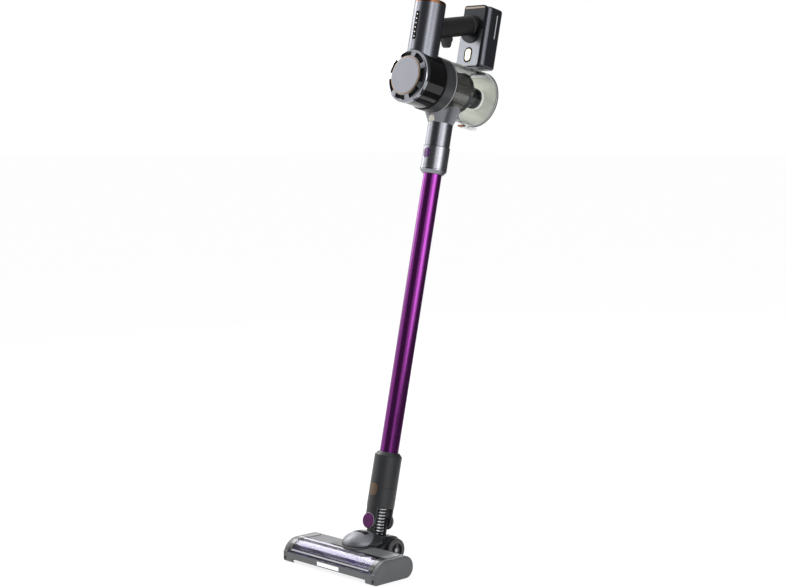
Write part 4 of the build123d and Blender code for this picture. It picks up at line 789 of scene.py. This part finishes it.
def hoodPatch(name, look, finishName):
    clearSelection()
    bpy.ops.mesh.primitive_uv_sphere_add(segments=96, ring_count=48, radius=1)
    patch = bpy.context.object
    patch.scale = [(side + look["proud"]) * mm for side in hoodLook["size"]]
    patch.location = Vector(hoodLook["middle"]) * mm
    bpy.ops.object.transform_apply(location=True, rotation=True, scale=True)
    bpy.ops.object.mode_set(mode="EDIT")
    for point, way in look["cuts"]:
        bpy.ops.mesh.select_all(action="SELECT")
        bpy.ops.mesh.bisect(plane_co=Vector(point) * mm, plane_no=Vector(way).normalized(), clear_inner=True)
    closeSeams()
    thicken(look["thick"])
    return finishPiece(name, Matrix(), "floor_head", finishName)


hoodFoot = ((0, 0, 42.9), (0, 0, 1))
shieldLook = {"proud": 0.35, "thick": 0.9, "cuts": [hoodFoot, ((0, 20.8, 44.0), (0, -0.616, 1))]}
hoodPatch("hoodShield", shieldLook, "shield")
# a black patch on the hood's top where the neck enters: painted shade standing in for a dark recess
notchShadeLook = {"proud": 0.6, "thick": 0.7,
             "cuts": [hoodFoot, ((-17, 0, 0), (1, 0, 0)), ((17, 0, 0), (-1, 0, 0)),
                      ((0, 29, 0), (0, 1, 0)), ((0, 39, 0), (0, -1, 0))]}
hoodPatch("hoodNotchShade", notchShadeLook, "ledBlack")


# a curved strip over the roller window: an edge along X, spun about the middle of the window's curve
windowLook = {"middle": (-16.7, 9.54), "radius": 31.46, "back": -10.0}


def windowStrip(name, look, finishName):
    y0, z0 = windowLook["middle"]
    radius = windowLook["radius"] + look["proud"]
    start = math.radians(look["start"])
    place = Vector((look["left"], y0 + radius * math.cos(start), z0 + radius * math.sin(start))) * mm
    startPoint(place)
    across = ((look["right"] - look["left"]) * mm, 0, 0)
    bpy.ops.mesh.extrude_vertices_move(TRANSFORM_OT_translate={"value": across})
    bpy.ops.mesh.select_all(action="SELECT")
    if look["flat"]:
        behind = (0, (windowLook["back"] - y0) * mm, 0)
        bpy.ops.mesh.extrude_edges_move(TRANSFORM_OT_translate={"value": behind})
        pick("EDGE", lambda co, edge: abs(co.y - place.y) < 1e-6 and abs(co.x - place.x) > 1e-6)
    sweep = math.radians(look["end"] - look["start"])
    bpy.ops.mesh.spin(steps=look["steps"], angle=-sweep, center=(0, y0 * mm, z0 * mm), axis=(1, 0, 0))
    closeSeams()
    thicken(look["thick"])
    return finishPiece(name, Matrix(), "floor_head", finishName)


endLook = {"start": 90, "end": 158, "proud": 0.5, "thick": 1.0, "steps": 20, "flat": True}
windowStrip("windowEndRight", {**endLook, "left": 103.5, "right": 112.8}, "blackPart")
windowStrip("windowEndLeft", {**endLook, "left": -112.8, "right": -103.5}, "blackPart")
# a pale strip along the window's lower edge: a painted highlight
highlightLineLook = {"left": -103.4, "right": 103.4, "start": 150, "end": 155, "proud": 0.25, "thick": 0.6, "steps": 4,
            "flat": False}
windowStrip("windowHighlightLine", highlightLineLook, "lightLine")
print("shield and window strips made")

# camera fitted to the photograph
cameraLook = {"eye": (2.138, -1.966, 0.794), "aim": (0, 0.1161, 0.4947), "lens": 74.69, "sensor": 36}
eye, aim = Vector(cameraLook["eye"]), Vector(cameraLook["aim"])
camera = bpy.data.objects.new("camera", bpy.data.cameras.new("camera"))
camera.data.lens, camera.data.sensor_width = cameraLook["lens"], cameraLook["sensor"]
camera.location = eye
camera.rotation_mode = "QUATERNION"
camera.rotation_quaternion = (aim - eye).to_track_quat("-Z", "Y")
bpy.context.scene.collection.objects.link(camera)
bpy.context.scene.camera = camera

# soft studio light: a white room, six soft boxes and dark boards that only reflections see
bpy.context.scene.view_settings.view_transform = "Standard"
toCamera = Vector((0.736, -0.677, 0))
toRight = Vector((0.677, 0.736, 0))
midPoint = Vector((0, 0.15, 0.5))
floorPoint = Vector((0, 0.15, 0))


def around(degrees, distance, height):
    turn = math.radians(degrees)
    way = toCamera * math.cos(turn) + toRight * math.sin(turn)
    return floorPoint + Vector((0, 0, height)) + way * distance


def seenRays(board):
    path = board.node("ShaderNodeLightPath")
    seen, glossy, through = (Value(board, path.socket.node.outputs[name]) for name in
                             ("Is Camera Ray", "Is Glossy Ray", "Is Transmission Ray"))
    return seen | glossy | through


room = bpy.data.worlds.new("room")
room.use_nodes = True
bpy.context.scene.world = room
roomBoard = Board(room.node_tree)
backdrop = room.node_tree.nodes["Background"]
roomLook = {"diffuse": 0.5}
roomBoard.fill(backdrop.inputs["Color"], (1, 1, 1, 1))
roomStrength = roomLook["diffuse"] + seenRays(roomBoard) * (1 - roomLook["diffuse"])
roomBoard.fill(backdrop.inputs["Strength"], roomStrength)

softBoxes = {
    "faceLight": {"turn": -96, "away": 2.6, "height": 1.85, "size": (0.8, 0.6), "glow": 3.4},
    "edgeLight": {"turn": -126, "away": 2.6, "height": 1.3, "size": (1.2, 0.9), "glow": 3.2},
    "panelRight": {"turn": 38, "away": 3.4, "height": 1.15, "size": (1.9, 1.1), "glow": 3.8},
    "panelHigh": {"turn": 15, "away": 3.4, "height": 2.25, "size": (1.2, 0.8), "glow": 4.0},
    "topBehind": {"turn": -142, "away": 2.0, "height": 1.9, "size": (1.5, 0.6), "glow": 9.0},
    "lowBehind": {"turn": 180, "away": 3.0, "height": 0.89, "size": (1.4, 0.4), "glow": 4.0},
}
for name, look in softBoxes.items():
    lamp = bpy.data.objects.new(name, bpy.data.lights.new(name, "AREA"))
    lamp.data.shape = "RECTANGLE"
    lamp.data.size, lamp.data.size_y = look["size"]
    lamp.data.energy = look["glow"] * math.pi * look["size"][0] * look["size"][1]
    lamp.location = around(look["turn"], look["away"], look["height"])
    lamp.rotation_mode = "QUATERNION"
    lamp.rotation_quaternion = (midPoint - lamp.location).to_track_quat("-Z", "Y")
    lamp.visible_camera = lamp.visible_transmission = False
    bpy.context.scene.collection.objects.link(lamp)

darkFinish = Finish("darkBoard")
darkFinish.surface({"Base Color": (0.0, 0.0, 0.0, 1), "Roughness": 1.0, "Specular IOR Level": 0.0,
                    "Emission Color": (0.09, 0.09, 0.095, 1), "Emission Strength": 1.0})
darkBoards = {    # first and last turn, distance, lowest and highest edge
    "boardFrontLeft": (-74, -4, 3.6, -0.5, 4.9), "boardRight": (68, 150, 3.6, -0.5, 4.9),
    "boardLow": (18, 150, 1.3, 0.0, 0.42),
}
for name, (first, last, away, low, high) in darkBoards.items():
    half = math.radians(last - first) / 2
    clearSelection()
    bpy.ops.mesh.primitive_plane_add(size=1)
    boardPiece = bpy.context.object
    boardPiece.name = name
    place = around((first + last) / 2, away * math.cos(half), (low + high) / 2)
    facing = (floorPoint + Vector((0, 0, place.z)) - place).to_track_quat("Z", "Y")
    spread = Vector((2 * away * math.sin(half), high - low, 1))
    boardPiece.matrix_world = Matrix.LocRotScale(place, facing, spread)
    bpy.ops.object.transform_apply(location=True, rotation=True, scale=True)
    boardPiece.data.materials.append(darkFinish.material)
    boardPiece.visible_camera = boardPiece.visible_diffuse = False
    boardPiece.visible_transmission = boardPiece.visible_shadow = False

clearSelection()
bpy.ops.mesh.primitive_plane_add(size=80, location=(0, 0, 0))
floorPiece = bpy.context.object
floorPiece.name = "floor"
floorLook = {"dark": "#f4f4f4", "light": "#f8f8f8", "glow": 1.21, "share": 0.7}
floorFinish = Finish("paleFloor")
floorGrain = floorFinish.noise(3, 2.0)
floorColour = floorFinish.mix(ink(floorLook["dark"]), ink(floorLook["light"]), floorGrain)
floorFinish.surface({"Base Color": floorColour, "Roughness": 0.9, "Specular IOR Level": 0.0})
glowSockets = {"Color": (1, 1, 1, 1), "Strength": floorLook["glow"]}
floorGlow = floorFinish.node("ShaderNodeEmission", sockets=glowSockets)
floorShader = Value(floorFinish, floorFinish.shader.outputs[0])
floorFinish.cover(seenRays(floorFinish) * floorLook["share"], floorShader, floorGlow)
floorPiece.data.materials.append(floorFinish.material)
print("camera, light and floor set")
